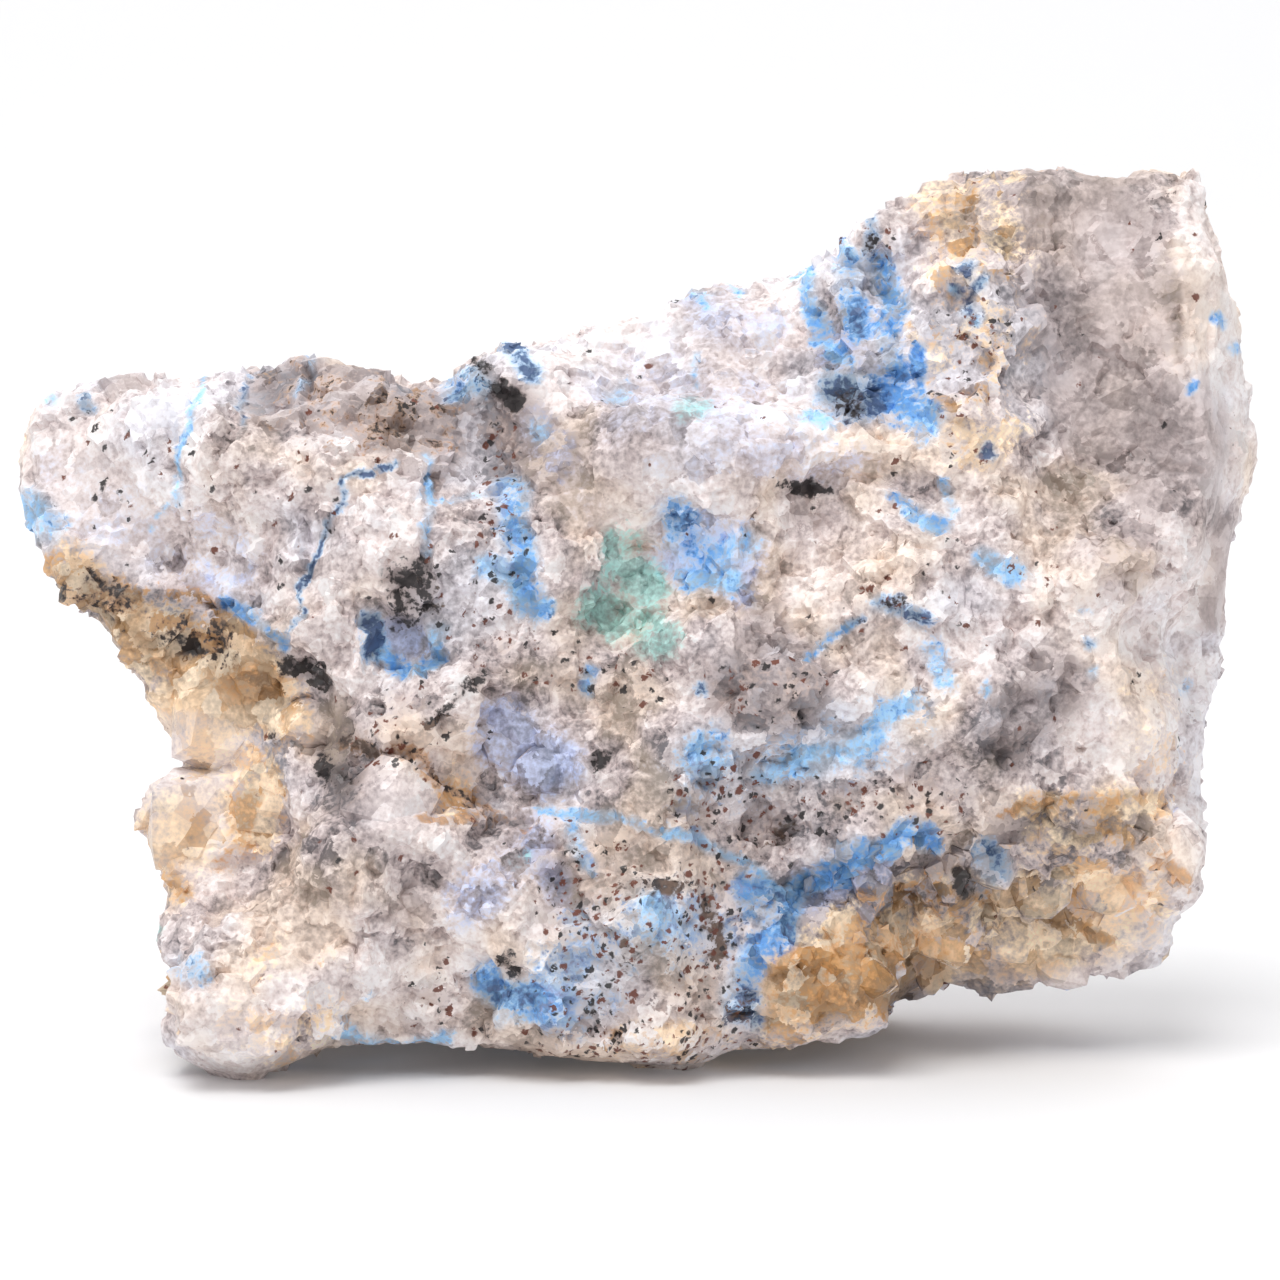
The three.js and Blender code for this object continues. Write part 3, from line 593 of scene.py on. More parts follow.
WANDER_PIXELS = 7
WANDER_SIZE = 0.0022
WANDER_SEEDS = ((1, 2), (3, 4))
SEEN_EDGE = (-0.25, 0.2)
UNSEEN_SIZE = 0.009
UNSEEN_FADE = 0.5
MINERAL_SEED = 11
FINE_SEED_STEP = 50
TONE_MIDDLE = 0.52
MOTTLE_SIZE = 0.0090
MOTTLE_SEED = 221
MOTTLE_WEIGHT = 0.24
MOTTLE_SEEN = 0.35
CLOUD_SIZE = 0.0021
CLOUD_SEED = 201
CLOUD_WEIGHT = 0.18
VEIL_SIZE = 0.0055
VEIL_SEED = 211
CALM_COLOUR = 0.45
WHITE_AND_HIGHLIGHT_GAIN = 0.25
SMOKY_AND_SHADE_LOSS = 0.26


def store_minerals(mesh):
    """Keeps the share of each mineral and the tone of the quartz, painted shade and highlights included, at
    every vertex of a mesh as attributes.
    """
    points = per_vertex(mesh, "co")
    x, y = (
        place + WANDER_PIXELS * rough_noise(points, WANDER_SIZE, *seeds)
        for place, seeds in zip(picture_place(points), WANDER_SEEDS)
    )
    seen = smoothstep(per_vertex(mesh, "normal") @ np.array(view_out), *SEEN_EDGE)
    shares = {}
    for seed, (name, (marks, unseen_share, fade)) in enumerate(minerals.items(), MINERAL_SEED):
        wild = rough_noise(points, UNSEEN_SIZE, seed, seed + FINE_SEED_STEP)
        scarce = 1 - 2 * unseen_share
        wild = smoothstep(wild, scarce, scarce + UNSEEN_FADE)
        shares[name] = seen * drawn(marks, x, y, fade) + (1 - seen) * wild
    shares["calm"] = seen * drawn(calm_marks, x, y, CALM_FADE)
    shares["clouds"] = layered(points, CLOUD_SIZE, CLOUD_SEED)
    shares["veil"] = layered(points, VEIL_SIZE, VEIL_SEED) * (1 - CALM_COLOUR * shares["calm"])
    shares["tone"] = (
        TONE_MIDDLE
        + MOTTLE_WEIGHT * (1 - (1 - MOTTLE_SEEN) * seen) * layered(points, MOTTLE_SIZE, MOTTLE_SEED)
        + CLOUD_WEIGHT * (1 - CALM_COLOUR * shares["calm"]) * shares["clouds"]
        # White places lighten the tone: partly milky quartz, partly painted highlights.
        + WHITE_AND_HIGHLIGHT_GAIN * shares.pop("white")
        # Smoky places darken the tone: partly darker quartz, partly painted shade.
        - SMOKY_AND_SHADE_LOSS * shares.pop("smoky_and_shade")
    )
    for name, share in shares.items():
        keep_attribute(mesh, name, share)


store_minerals(rock_mesh)


# The rock's colours: pale glassy quartz grains, tinted lavender near the ore, with blue linarite,
# green copper minerals, honey and rust stains, grey weathered skin and dark specks of other ores, with
# painted shade in hollows, creases and faces turned away, and painted highlights on ridges and edges.
# Every piece has this one finish, because all of them grew as one rock.
rock_material = bpy.data.materials.new("linarite rock")
rock_material.use_nodes = True
paint = rock_material.node_tree
paint.nodes.clear()
surface = paint.nodes.new("ShaderNodeOutputMaterial")
shader = paint.nodes.new("ShaderNodeBsdfPrincipled")
paint.links.new(shader.outputs[0], surface.inputs["Surface"])


def plug(value, slot):
    """Joins a socket to a slot of its node tree, or sets the slot to a plain value."""
    if isinstance(value, bpy.types.NodeSocket):
        slot.id_data.links.new(value, slot)
    else:
        slot.default_value = value


def added(tree, kind, inputs, **settings):
    """The outputs of a new node, with its settings and with sockets or plain values in its inputs."""
    node = tree.nodes.new(kind)
    for name, value in settings.items():
        setattr(node, name, value)
    for slot, value in inputs.items():
        plug(value, node.inputs[slot])
    return node.outputs


def tree_of(values):
    """The node tree that the sockets among some values belong to."""
    return next(value.id_data for value in values if isinstance(value, bpy.types.NodeSocket))


def number(operation, *values, **settings):
    """A number worked out from sockets and plain numbers."""
    inputs = dict(enumerate(values))
    return added(tree_of(values), "ShaderNodeMath", inputs, operation=operation, **settings)[0]


def vector(operation, *values):
    """A vector worked out from sockets and plain values, or their dot product as a number."""
    outputs = added(tree_of(values), "ShaderNodeVectorMath", dict(enumerate(values)), operation=operation)
    return outputs["Value" if operation == "DOT_PRODUCT" else "Vector"]


def total(*values):
    """The sum of sockets and plain numbers."""
    result = values[0]
    for value in values[1:]:
        result = number("ADD", result, value)
    return result


def scaled(value, weight):
    """A value times a weight, where at least one of them is a socket."""
    return number("MULTIPLY", value, weight)


def centred(value, weight):
    """A value from 0 to 1 as a weighted step to either side of 0."""
    return scaled(number("SUBTRACT", value, 0.5), weight)


def band(value, low, high, bottom=0.0, top=1.0):
    """Eases a value from bottom to top as it goes from low to high."""
    limits = {"Value": value, "From Min": low, "From Max": high, "To Min": bottom, "To Max": top}
    return added(paint, "ShaderNodeMapRange", limits, interpolation_type="SMOOTHSTEP")[0]


def blended(share, under, over):
    """One colour laid over another by a share."""
    inputs = {"Factor": share, "A": under, "B": over}
    return added(paint, "ShaderNodeMix", inputs, data_type="RGBA")["Result"]


def share_of(name):
    """A number kept at the vertices of the piece."""
    return added(paint, "ShaderNodeAttribute", {}, attribute_name=name)["Fac"]


def cells(size, place):
    """A patchwork of cells about as wide as the given size."""
    return added(paint, "ShaderNodeTexVoronoi", {"Vector": place, "Scale": 1 / size})


def picks(cell_outputs):
    """The three random numbers of each cell."""
    return added(paint, "ShaderNodeSeparateColor", {0: cell_outputs["Color"]})


def own_way(cell_outputs):
    """A direction of its own for each cell."""
    return vector("SUBTRACT", cell_outputs["Color"], (0.5, 0.5, 0.5))


QUARTZ_TONES = (
    (0.05, (0.15, 0.13, 0.135, 1)),
    (0.33, (0.51, 0.425, 0.42, 1)),
    (0.58, (0.775, 0.675, 0.655, 1)),
    (0.88, (0.95, 0.905, 0.90, 1)),
)
GRIT_SIZE = 0.00045
GRIT_DETAIL = 2.0
GRIT_ROUGHNESS = 0.6
GRIT_TONE = 1.2
SHAKE = 0.0009
GRAIN_CELL = 0.0016
GRAIN_TONE = 0.37
HEIGHT_SHADE_TONE = 185.0
CALM_LIVELINESS = 0.7

coordinates = paint.nodes.new("ShaderNodeTexCoord").outputs["Object"]
grit_inputs = {
    "Vector": coordinates,
    "Scale": 1 / GRIT_SIZE,
    "Detail": GRIT_DETAIL,
    "Roughness": GRIT_ROUGHNESS,
}
grit = added(paint, "ShaderNodeTexNoise", grit_inputs)[0]
shaken = vector("MULTIPLY_ADD", grit, (SHAKE, -SHAKE, SHAKE), coordinates)
grain_cells = cells(GRAIN_CELL, shaken)
grain = picks(grain_cells)
clouds = share_of("clouds")
veil = share_of("veil")
# Grit and grain vary the tone at random; the relief's height paints shade into its hollows and light onto
# its crests.
grain_and_relief_shade = total(
    centred(grit, GRIT_TONE), centred(grain[0], GRAIN_TONE), scaled(share_of("height"), HEIGHT_SHADE_TONE)
)
liveliness = band(share_of("calm"), 0.0, 1.0, 1.0, CALM_LIVELINESS)
tone = total(share_of("tone"), share_of("grain_tone"), scaled(grain_and_relief_shade, liveliness))
ramp = paint.nodes.new("ShaderNodeValToRGB")
for stop, (place, value) in enumerate(QUARTZ_TONES):
    element = ramp.color_ramp.elements[stop] if stop < 2 else ramp.color_ramp.elements.new(place)
    element.position = place
    element.color = value
plug(tone, ramp.inputs[0])

CREAM = (0.78, 0.605, 0.45, 1)
CREAM_SHARE = 0.52
CREAM_DEPTH = 0.35
COOL = (0.60, 0.61, 0.69, 1)
COOL_SHARE = 0.55
COOL_DEPTH = 0.45
VEIL_FULL = 0.8
TONE_RANGE = (0.1, 0.95)


def toned(colour, depth):
    """A mineral's colour with the light and dark of the quartz tone under it, painted shade and highlights
    included.
    """
    light = band(tone, *TONE_RANGE, 1 - depth, 1 + depth)
    return added(paint, "ShaderNodeHueSaturation", {"Value": light, "Color": colour})[0]


colour = blended(band(veil, 0.0, VEIL_FULL, 0.0, CREAM_SHARE), ramp.outputs[0], toned(CREAM, CREAM_DEPTH))
colour = blended(band(veil, 0.0, -VEIL_FULL, 0.0, COOL_SHARE), colour, toned(COOL, COOL_DEPTH))

CALM_STEADINESS = 0.4
CLOUD_EDGE = 0.27
GRIT_EDGE = 1.4
GRAIN_EDGE = 0.4
TRACE = (0.02, 0.25)
steadiness = band(share_of("calm"), 0.0, 1.0, 1.0, CALM_STEADINESS)
edge_noise = total(scaled(clouds, CLOUD_EDGE), centred(grit, GRIT_EDGE), centred(grain[1], GRAIN_EDGE))
ragged = scaled(edge_noise, steadiness)


def stained(under, name, over, depth, strength, raggedness, limits):
    """Lays a mineral over a colour: its share, broken up by the grain, brings it in between two limits."""
    share = share_of(name)
    edge = number("ADD", share, scaled(ragged, raggedness))
    amount = number("MULTIPLY", band(edge, *limits), band(share, *TRACE, 0.0, strength))
    return blended(amount, under, toned(over, depth))


GREY_AND_SHADE = (0.42, 0.345, 0.34, 1)
WEATHERED_AND_SHADE = (0.28, 0.215, 0.205, 1)
LAVENDER = (0.37, 0.46, 0.73, 1)
HONEY = (0.63, 0.36, 0.15, 1)
HONEY_PALE = (0.87, 0.69, 0.49, 1)
HONEY_CLOUDS = 0.2
HONEY_GRAIN = 0.6
HONEY_LIMITS = (-0.25, 0.2)
RUST = (0.42, 0.20, 0.06, 1)
GREEN = (0.27, 0.58, 0.54, 1)

honey_pick = scaled(total(scaled(clouds, HONEY_CLOUDS), centred(grain[2], HONEY_GRAIN)), steadiness)
honey = blended(band(honey_pick, *HONEY_LIMITS), HONEY, HONEY_PALE)
# By name: the colour, how much of the grain's light and dark it takes, its strength, how ragged its edge
# is, and the shares between which it comes in.
for name, *looks in (
    # Grey and weathered places lay painted shade as well as their own colours.
    ("grey", GREY_AND_SHADE, 0.4, 0.7, 0.8, (0.25, 0.75)),
    ("weathered", WEATHERED_AND_SHADE, 0.6, 0.65, 1.4, (0.25, 0.75)),
    ("lavender", LAVENDER, 0.5, 0.68, 0.9, (0.1, 0.95)),
    ("honey", honey, 0.4, 0.88, 1.0, (0.25, 0.75)),
    ("rust", RUST, 0.6, 0.75, 2.2, (0.3, 1.2)),
    ("green", GREEN, 0.45, 0.72, 1.1, (0.1, 0.95)),
):
    colour = stained(colour, name, *looks)

HAZE = (0.50, 0.67, 0.86, 1)
HAZE_DEPTH = 0.35
HAZE_FULL = 0.7
HAZE_STRENGTH = 0.4
SKY = (0.33, 0.58, 0.84, 1)
AZURE = (0.07, 0.27, 0.62, 1)
AZURE_CLOUDS = 0.4
AZURE_GRIT = 2.2
AZURE_LIMITS = (-0.1, 1.0)
NAVY = (0.02, 0.06, 0.16, 1)
NAVY_RAGGEDNESS = 1.4
NAVY_LIMITS = (0.35, 1.1)
DARK = (0.02, 0.017, 0.018, 1)
SPECK_DUST = (0.36, 0.23, 0.16, 1)

haze = band(share_of("linarite"), 0.0, HAZE_FULL, 0.0, HAZE_STRENGTH)
colour = blended(haze, colour, toned(HAZE, HAZE_DEPTH))
azure_depth = total(share_of("azure"), scaled(clouds, AZURE_CLOUDS), centred(grit, AZURE_GRIT))
blue = blended(band(azure_depth, *AZURE_LIMITS), SKY, AZURE)
navy_depth = total(share_of("deep"), scaled(ragged, NAVY_RAGGEDNESS))
blue = blended(band(navy_depth, *NAVY_LIMITS), blue, NAVY)
for name, *looks in (
    ("linarite", blue, 0.4, 0.92, 1.4, (0.22, 1.0)),
    ("dark", WEATHERED_AND_SHADE, 0.6, 0.6, 1.4, (0.2, 0.8)),
    ("dark", DARK, 0.0, 0.95, 2.0, (0.45, 0.95)),
    ("specks", SPECK_DUST, 0.5, 0.3, 2.6, (0.6, 1.3)),
):
    colour = stained(colour, name, *looks)

SPECK = (0.16, 0.045, 0.025, 1)
SPECK_CELL = 0.00060
SPECK_LARGEST = 0.5
SPECK_EDGE = (-0.12, 0.08)
SPECK_STRENGTH = 0.95
SPECK_STRAYS = 0.015
SPECK_BLACK_SHARE = 0.45

speck_cells = cells(SPECK_CELL, shaken)
speck_pick = picks(speck_cells)
speck_inside = number("SUBTRACT", scaled(speck_pick[1], SPECK_LARGEST), speck_cells["Distance"])
speck = band(speck_inside, *SPECK_EDGE, 0.0, SPECK_STRENGTH)
speck_here = number("GREATER_THAN", total(share_of("specks"), SPECK_STRAYS), speck_pick[0])
speck_colour = blended(number("GREATER_THAN", speck_pick[2], SPECK_BLACK_SHARE), DARK, SPECK)
plug(blended(scaled(speck, speck_here), colour, speck_colour), shader.inputs["Base Color"])

ROUGHNESS = 0.62
GRAIN_ROUGHNESS = 0.5
GLOSS_SHINE = -0.3
QUARTZ_IOR = 1.54
GRAIN_LEAN = 0.7

roughness = total(ROUGHNESS, centred(grain[2], GRAIN_ROUGHNESS), scaled(share_of("gloss"), GLOSS_SHINE))
plug(roughness, shader.inputs["Roughness"])
shader.inputs["IOR"].default_value = QUARTZ_IOR
plain_normal = paint.nodes.new("ShaderNodeNewGeometry").outputs["Normal"]
lean = vector("MULTIPLY", own_way(grain_cells), (GRAIN_LEAN, GRAIN_LEAN, GRAIN_LEAN))
leaning = vector("ADD", plain_normal, lean)
plug(vector("NORMALIZE", leaning), shader.inputs["Normal"])


# The broken skin of the quartz: each grain parted along flat faces of its own, so the surface is a
# patchwork of small tilted facets over low lumps. The feet stay as they are in the solid.
FACET_SIZE = 0.0030
FACET_TILT = 0.25
GRAIN_SIZE = 0.0013
GRAIN_TILT = 0.30
LUMP_SIZE = 0.0045
LUMP_HEIGHT = 0.0005
LUMP_DETAIL = 3.0


def geometry_tree(name, inputs):
    """A new geometry node tree with named inputs, and the values of those inputs by socket identifier."""
    tree = bpy.data.node_groups.new(name, "GeometryNodeTree")
    tree.interface.new_socket("Geometry", in_out="INPUT", socket_type="NodeSocketGeometry")
    values = {}
    for label, (kind, value) in inputs.items():
        socket = tree.interface.new_socket(label, in_out="INPUT", socket_type=kind)
        values[socket.identifier] = value
    tree.interface.new_socket("Geometry", in_out="OUTPUT", socket_type="NodeSocketGeometry")
    return tree, values


def kept_number(tree, name):
    """A number kept at the vertices of the mesh that a geometry tree works on."""
    return added(tree, "GeometryNodeInputNamedAttribute", {"Name": name}, data_type="FLOAT")[0]


def finished(tree, geometry, material):
    """Ends a geometry tree: real flat-shaded faces in one material."""
    flat = added(tree, "GeometryNodeSetShadeSmooth", {"Geometry": geometry, "Shade Smooth": False})[0]
    real = added(tree, "GeometryNodeRealizeInstances", {"Geometry": flat})[0]
    painted = added(tree, "GeometryNodeSetMaterial", {"Geometry": real, "Material": material})[0]
    plug(painted, tree.nodes.new("NodeGroupOutput").inputs["Geometry"])


def put_through(mesh, tree, values, name):
    """The plain mesh that a geometry tree makes of a mesh, with the tree's inputs set."""
    worked = bpy.data.objects.new(name, mesh)
    bpy.context.scene.collection.objects.link(worked)
    modifier = worked.modifiers.new(name, "NODES")
    modifier.node_group = tree
    for identifier, value in values.items():
        modifier[identifier] = value
    return made_plain(worked, name)


relief, relief_values = geometry_tree(
    "broken quartz relief",
    {
        "Facet size": ("NodeSocketFloat", FACET_SIZE),
        "Facet tilt": ("NodeSocketFloat", FACET_TILT),
        "Grain size": ("NodeSocketFloat", GRAIN_SIZE),
        "Grain tilt": ("NodeSocketFloat", GRAIN_TILT),
        "Lump size": ("NodeSocketFloat", LUMP_SIZE),
        "Lump height": ("NodeSocketFloat", LUMP_HEIGHT),
        "Rock": ("NodeSocketMaterial", rock_material),
    },
)
relief_given = relief.nodes.new("NodeGroupInput").outputs
position = relief.nodes.new("GeometryNodeInputPosition").outputs[0]
normal = relief.nodes.new("GeometryNodeInputNormal").outputs[0]


def tilted_facets(size, tilt):
    """Height of a patchwork of flat facets, each cell tilted its own way."""
    scale = number("DIVIDE", 1.0, size)
    patches = added(relief, "ShaderNodeTexVoronoi", {"Vector": position, "Scale": scale})
    from_middle = vector("SUBTRACT", position, patches["Position"])
    return scaled(vector("DOT_PRODUCT", from_middle, own_way(patches)), scaled(tilt, 2.0))


lump_scale = number("DIVIDE", 1.0, relief_given["Lump size"])
lump_inputs = {"Vector": position, "Scale": lump_scale, "Detail": LUMP_DETAIL}
lump_noise = added(relief, "ShaderNodeTexNoise", lump_inputs)[0]
full_height = total(
    tilted_facets(relief_given["Facet size"], relief_given["Facet tilt"]),
    tilted_facets(relief_given["Grain size"], relief_given["Grain tilt"]),
    centred(lump_noise, scaled(relief_given["Lump height"], 2.0)),
)
height = scaled(full_height, kept_number(relief, "relief_share"))
stored = added(
    relief,
    "GeometryNodeStoreNamedAttribute",
    {"Geometry": relief_given["Geometry"], "Name": "height", "Value": height},
    data_type="FLOAT",
    domain="POINT",
)[0]
outward = added(relief, "ShaderNodeVectorMath", {0: normal, "Scale": height}, operation="SCALE")["Vector"]
broken = added(relief, "GeometryNodeSetPosition", {"Geometry": stored, "Offset": outward})[0]
finished(relief, broken, relief_given["Rock"])

rock = bpy.data.objects.new("rock", put_through(rock_mesh, relief, relief_values, "broken rock"))
bpy.context.scene.collection.objects.link(rock)
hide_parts("linarite_rock")
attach(rock, "root")


# Loose-looking grains and stubby crystals of quartz stand out of the broken skin, half sunk in it.
# They grew with the rock and take its stains, and they are larger in the hollows.
# Few stand on the smooth places, and none at the feet that rest on the floor.
SHAPE_KINDS = 6
SHAPE_CORNERS = 10
SHAPE_HALF = 0.001
SHAPE_STRETCH = (1.0, 0.8, 0.7)
GRAIN_SEED = 4
GRAIN_SPACING = 0.0010
GRAINS_PER_AREA = 800000
GRAIN_SCALE = (0.3, 0.8)
CRYSTAL_GAIN = 1.5
GRAIN_SUNK = -0.00045
GRAIN_COVER = 0.5
GRAIN_FREEDOM = 0.25
GRAIN_TONES = (-0.2, 0.2)
GRAIN_GLOSS = (0.1, 1.0)
TONE_DRAW = 1
GLOSS_DRAW = 2
SCALE_DRAW = 3
TURN_DRAW = 4
KIND_DRAW = 8


def hull_block(corners):
    """A convex block with the given corners, less those that fall inside it."""
    block = bmesh.new()
    for corner in corners:
        block.verts.new(corner)
    hull = bmesh.ops.convex_hull(block, input=block.verts)
    inside = hull["geom_interior"] + hull["geom_unused"]
    loose = {part for part in inside if isinstance(part, bmesh.types.BMVert)}
    bmesh.ops.delete(block, geom=list(loose), context="VERTS")
    bmesh.ops.recalc_face_normals(block, faces=block.faces)
    return block


shapes = bpy.data.collections.new("quartz grain shapes")
for kind in range(SHAPE_KINDS):
    corners = np.random.default_rng(kind).normal(size=(SHAPE_CORNERS, 3))
    corners *= SHAPE_HALF / np.linalg.norm(corners, axis=1)[:, None] * np.array(SHAPE_STRETCH)
    shape = hull_block(corners)
    shape_mesh = bpy.data.meshes.new(f"grain shape {kind}")
    shape.to_mesh(shape_mesh)
    shape.free()
    shapes.objects.link(bpy.data.objects.new(f"grain shape {kind}", shape_mesh))

scatter, scatter_values = geometry_tree(
    "scattered quartz grains",
    {
        "Shapes": ("NodeSocketCollection", shapes),
        "Rock": ("NodeSocketMaterial", rock_material),
        "Spacing": ("NodeSocketFloat", GRAIN_SPACING),
        "Grains per area": ("NodeSocketFloat", GRAINS_PER_AREA),
        "Smallest": ("NodeSocketFloat", GRAIN_SCALE[0]),
        "Largest": ("NodeSocketFloat", GRAIN_SCALE[1]),
        "Crystal gain": ("NodeSocketFloat", CRYSTAL_GAIN),
        "Sunk": ("NodeSocketFloat", GRAIN_SUNK),
        "Cover": ("NodeSocketFloat", GRAIN_COVER),
        "Freedom": ("NodeSocketFloat", GRAIN_FREEDOM),
        "Seed": ("NodeSocketInt", GRAIN_SEED),
    },
)
given = scatter.nodes.new("NodeGroupInput").outputs


def random_number(low, high, draw):
    """A random number for each grain, from a draw of its own."""
    inputs = {2: low, 3: high, "Seed": number("ADD", given["Seed"], draw)}
    return added(scatter, "FunctionNodeRandomValue", inputs, data_type="FLOAT")[1]


crystal_share = kept_number(scatter, "crystals")
lively = number("SUBTRACT", given["Cover"], kept_number(scatter, "calm"))
wanted = number("ADD", crystal_share, lively, use_clamp=True)
off_floor = number("GREATER_THAN", kept_number(scatter, "relief_share"), given["Freedom"])
points = added(
    scatter,
    "GeometryNodeDistributePointsOnFaces",
    {
        "Mesh": given["Geometry"],
        "Distance Min": given["Spacing"],
        "Density Max": given["Grains per area"],
        "Density Factor": scaled(wanted, off_floor),
        "Seed": given["Seed"],
    },
    distribute_method="POISSON",
)
gain = number("MULTIPLY_ADD", crystal_share, given["Crystal gain"], 1.0)
grain_scale = scaled(random_number(given["Smallest"], given["Largest"], SCALE_DRAW), gain)
sinking = {0: points["Normal"], "Scale": scaled(given["Sunk"], grain_scale)}
inward = added(scatter, "ShaderNodeVectorMath", sinking, operation="SCALE")["Vector"]
seats = added(scatter, "GeometryNodeSetPosition", {"Geometry": points["Points"], "Offset": inward})[0]
for name, limits, draw in (("grain_tone", GRAIN_TONES, TONE_DRAW), ("gloss", GRAIN_GLOSS, GLOSS_DRAW)):
    seats = added(
        scatter,
        "GeometryNodeStoreNamedAttribute",
        {"Geometry": seats, "Name": name, "Value": random_number(*limits, draw)},
        data_type="FLOAT",
        domain="POINT",
    )[0]
turns = {axis: random_number(0.0, 2 * math.pi, TURN_DRAW + axis) for axis in range(3)}
shape_info = {"Collection": given["Shapes"], "Separate Children": True}
instances = added(
    scatter,
    "GeometryNodeInstanceOnPoints",
    {
        "Points": seats,
        "Instance": added(scatter, "GeometryNodeCollectionInfo", shape_info)[0],
        "Pick Instance": True,
        "Instance Index": random_number(0.0, SHAPE_KINDS, KIND_DRAW),
        "Rotation": added(scatter, "ShaderNodeCombineXYZ", turns)[0],
        "Scale": grain_scale,
    },
)[0]
finished(scatter, instances, given["Rock"])

grains_mesh = put_through(rock.data.copy(), scatter, scatter_values, "quartz grains")
grains = bpy.data.objects.new("quartz_grains", grains_mesh)
bpy.context.scene.collection.objects.link(grains)
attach(grains, "root")


# The larger crystals of quartz: honey knobs at the left, clear blocks in the hollow under the front slab
# and milky lenses in the broad face. They grew out of the rock and broke along flat faces.
# Each is placed by its middle in picture pixels, with its half sizes across, up and out of the face.
CRYSTAL_CORNERS = 18
CRYSTAL_JITTER = 0.25
CRYSTAL_CUTS = 4
CRYSTAL_SUNK = 0.45
CRYSTAL_GLOSS = 1.0
CRYSTAL_TONE = 0.16
GOLDEN_TURN = math.pi * (3 - math.sqrt(5))
set_crystals = {
    "lower knob": (192, 822, 0.0040, 0.0042, 0.0030),
    "lower knob's neighbour": (272, 800, 0.0026, 0.0028, 0.0018),
    "upper knob": (212, 722, 0.0036, 0.0032, 0.0026),
    "upper knob's neighbour": (312, 722, 0.0026, 0.0024, 0.0014),
    "white lens": (388, 808, 0.0034, 0.0036, 0.0016),
    "lavender block": (512, 738, 0.0024, 0.0024, 0.0012),
    "lavender block's neighbour": (545, 770, 0.0018, 0.0018, 0.0010),
    "green lens": (625, 562, 0.0026, 0.0018, 0.0012),
    "right white knob": (1184, 850, 0.0020, 0.0027, 0.0020),
    "ledge block one": (838, 892, 0.0015, 0.0013, 0.0012),
    "ledge block two": (872, 882, 0.0016, 0.0015, 0.0014),
    "ledge block three": (910, 874, 0.0018, 0.0016, 0.0014),
    "ledge block four": (948, 876, 0.0016, 0.0022, 0.0015),
    "slate block": (994, 860, 0.0022, 0.0024, 0.0014),
    "grey block": (1036, 884, 0.0024, 0.0024, 0.0016),
    "brown block": (1064, 832, 0.0021, 0.0018, 0.0012),
    "honey block one": (952, 930, 0.0024, 0.0024, 0.0016),
    "honey block two": (1020, 940, 0.0026, 0.0022, 0.0016),
    "honey block three": (1100, 880, 0.0024, 0.0028, 0.0016),
    "honey block four": (1130, 920, 0.0026, 0.0022, 0.0014),
    "yellow block": (930, 962, 0.0014, 0.0022, 0.0012),
    "base block": (1060, 965, 0.0022, 0.0018, 0.0012),
    "ochre block": (868, 980, 0.0022, 0.0018, 0.0014),
}

view_axes = np.array((view_right, view_up, view_out))
bpy.context.view_layer.update()
seen_rock = rock.evaluated_get(bpy.context.evaluated_depsgraph_get())
crystal_places = []
crystal_faces = []
crystal_tones = []
for seed, (x, y, *halves) in enumerate(set_crystals.values()):
    across = (x - PICTURE_PIXELS / 2) * PIXEL_SIZE
    up = (PICTURE_PIXELS / 2 - y) * PIXEL_SIZE
    sight = view_right * across + view_up * up - view_out * (VIEW_DISTANCE - OUTLINE_DEPTH)
    hit, middle, _, _ = seen_rock.ray_cast(camera.location, sight.normalized())
    if not hit:
        raise ValueError("a crystal misses the rock")
    draws = np.random.default_rng(seed)
    level = 1 - (2 * np.arange(CRYSTAL_CORNERS) + 1) / CRYSTAL_CORNERS
    corner_turn = GOLDEN_TURN * np.arange(CRYSTAL_CORNERS) + seed
    ring = np.sqrt(1 - level * level)
    corners = np.stack([ring * np.cos(corner_turn), ring * np.sin(corner_turn), level], axis=1)
    corners += CRYSTAL_JITTER * draws.uniform(-1, 1, corners.shape)
    corners = corners * np.array(halves) - np.array((0, 0, CRYSTAL_SUNK * halves[2]))
    block = hull_block(corners @ view_axes + np.array(middle))
    bmesh.ops.subdivide_edges(block, edges=block.edges, cuts=CRYSTAL_CUTS, use_grid_fill=True)
    block.verts.index_update()
    first = len(crystal_places)
    crystal_places += [tuple(vertex.co) for vertex in block.verts]
    crystal_faces += [[first + vertex.index for vertex in face.verts] for face in block.faces]
    crystal_tones += [draws.uniform(-CRYSTAL_TONE, CRYSTAL_TONE)] * len(block.verts)
    block.free()
crystal_mesh = bpy.data.meshes.new("quartz crystals")
crystal_mesh.from_pydata(crystal_places, [], crystal_faces)
crystal_mesh.materials.append(rock_material)
store_minerals(crystal_mesh)
keep_attribute(crystal_mesh, "grain_tone", crystal_tones)
keep_attribute(crystal_mesh, "gloss", [CRYSTAL_GLOSS] * len(crystal_places))
crystals = bpy.data.objects.new("quartz_crystals", crystal_mesh)
bpy.context.scene.collection.objects.link(crystals)
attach(crystals, "root")


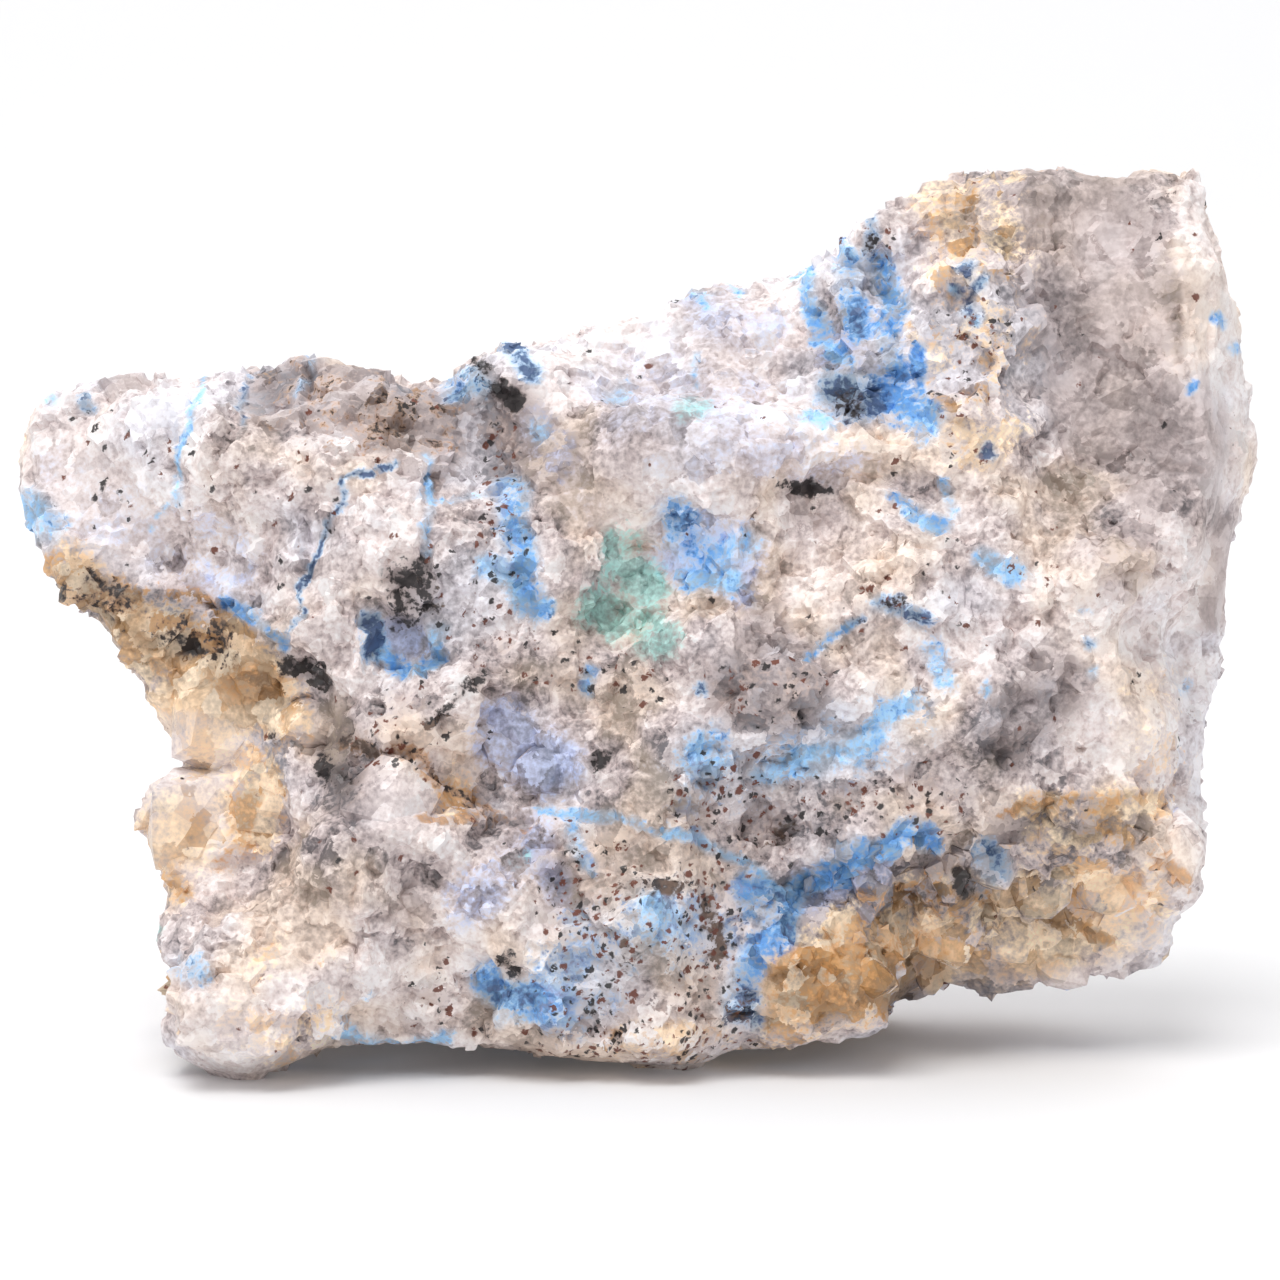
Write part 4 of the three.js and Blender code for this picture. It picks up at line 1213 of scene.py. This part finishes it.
# The floor is plain white card that sweeps up behind the rock and glows a little, as on a light table.
# One soft panel stands above the rock at the front left, and one over the sweep behind it.
FLOOR_HALF = 1.6
SWEEP_START = 0.9
SWEEP_RADIUS = 0.5
SWEEP_STEPS = 16
FLOOR_COLOUR = (0.80, 0.80, 0.81, 1)
FLOOR_ROUGHNESS = 0.9
FLOOR_GLOW = 0.05
TENT_COLOUR = (1, 1, 1, 1)
TENT_STRENGTH = 0.52
# By name: where the panel stands, its size and its power.
PANELS = {
    "front panel": (Vector((-0.25, -0.5, 1.2)), 0.8, 12.5),
    "back panel": (Vector((0.0, 0.75, 1.2)), 1.6, 10.0),
}

profile = [(-FLOOR_HALF, 0.0)]
for step in range(SWEEP_STEPS + 1):
    bend = math.pi / 2 * step / SWEEP_STEPS
    profile.append((SWEEP_START + SWEEP_RADIUS * math.sin(bend), SWEEP_RADIUS * (1 - math.cos(bend))))
floor_points = [(side, y, z) for y, z in profile for side in (-FLOOR_HALF, FLOOR_HALF)]
floor_faces = [(n, n + 1, n + 3, n + 2) for n in range(0, 2 * len(profile) - 2, 2)]
floor_mesh = bpy.data.meshes.new("floor")
floor_mesh.from_pydata(floor_points, [], floor_faces)
floor_mesh.shade_smooth()
floor_material = bpy.data.materials.new("floor")
floor_material.use_nodes = True
floor_shader = floor_material.node_tree.nodes["Principled BSDF"]
floor_shader.inputs["Base Color"].default_value = FLOOR_COLOUR
floor_shader.inputs["Roughness"].default_value = FLOOR_ROUGHNESS
floor_shader.inputs["Emission Color"].default_value = FLOOR_COLOUR
floor_shader.inputs["Emission Strength"].default_value = FLOOR_GLOW
floor_mesh.materials.append(floor_material)
floor = bpy.data.objects.new("floor", floor_mesh)
bpy.context.scene.collection.objects.link(floor)
world = bpy.data.worlds.new("tent")
world.use_nodes = True
tent = world.node_tree.nodes["Background"]
tent.inputs["Color"].default_value = TENT_COLOUR
tent.inputs["Strength"].default_value = TENT_STRENGTH
bpy.context.scene.world = world
for name, (place, size, power) in PANELS.items():
    panel_data = bpy.data.lights.new(name, "AREA")
    panel_data.size = size
    panel_data.energy = power
    panel = bpy.data.objects.new(name, panel_data)
    panel.location = place
    panel.rotation_euler = (VIEW_AIM - place).to_track_quat("-Z", "Y").to_euler()
    bpy.context.scene.collection.objects.link(panel)
bpy.context.scene.view_settings.view_transform = "Standard"
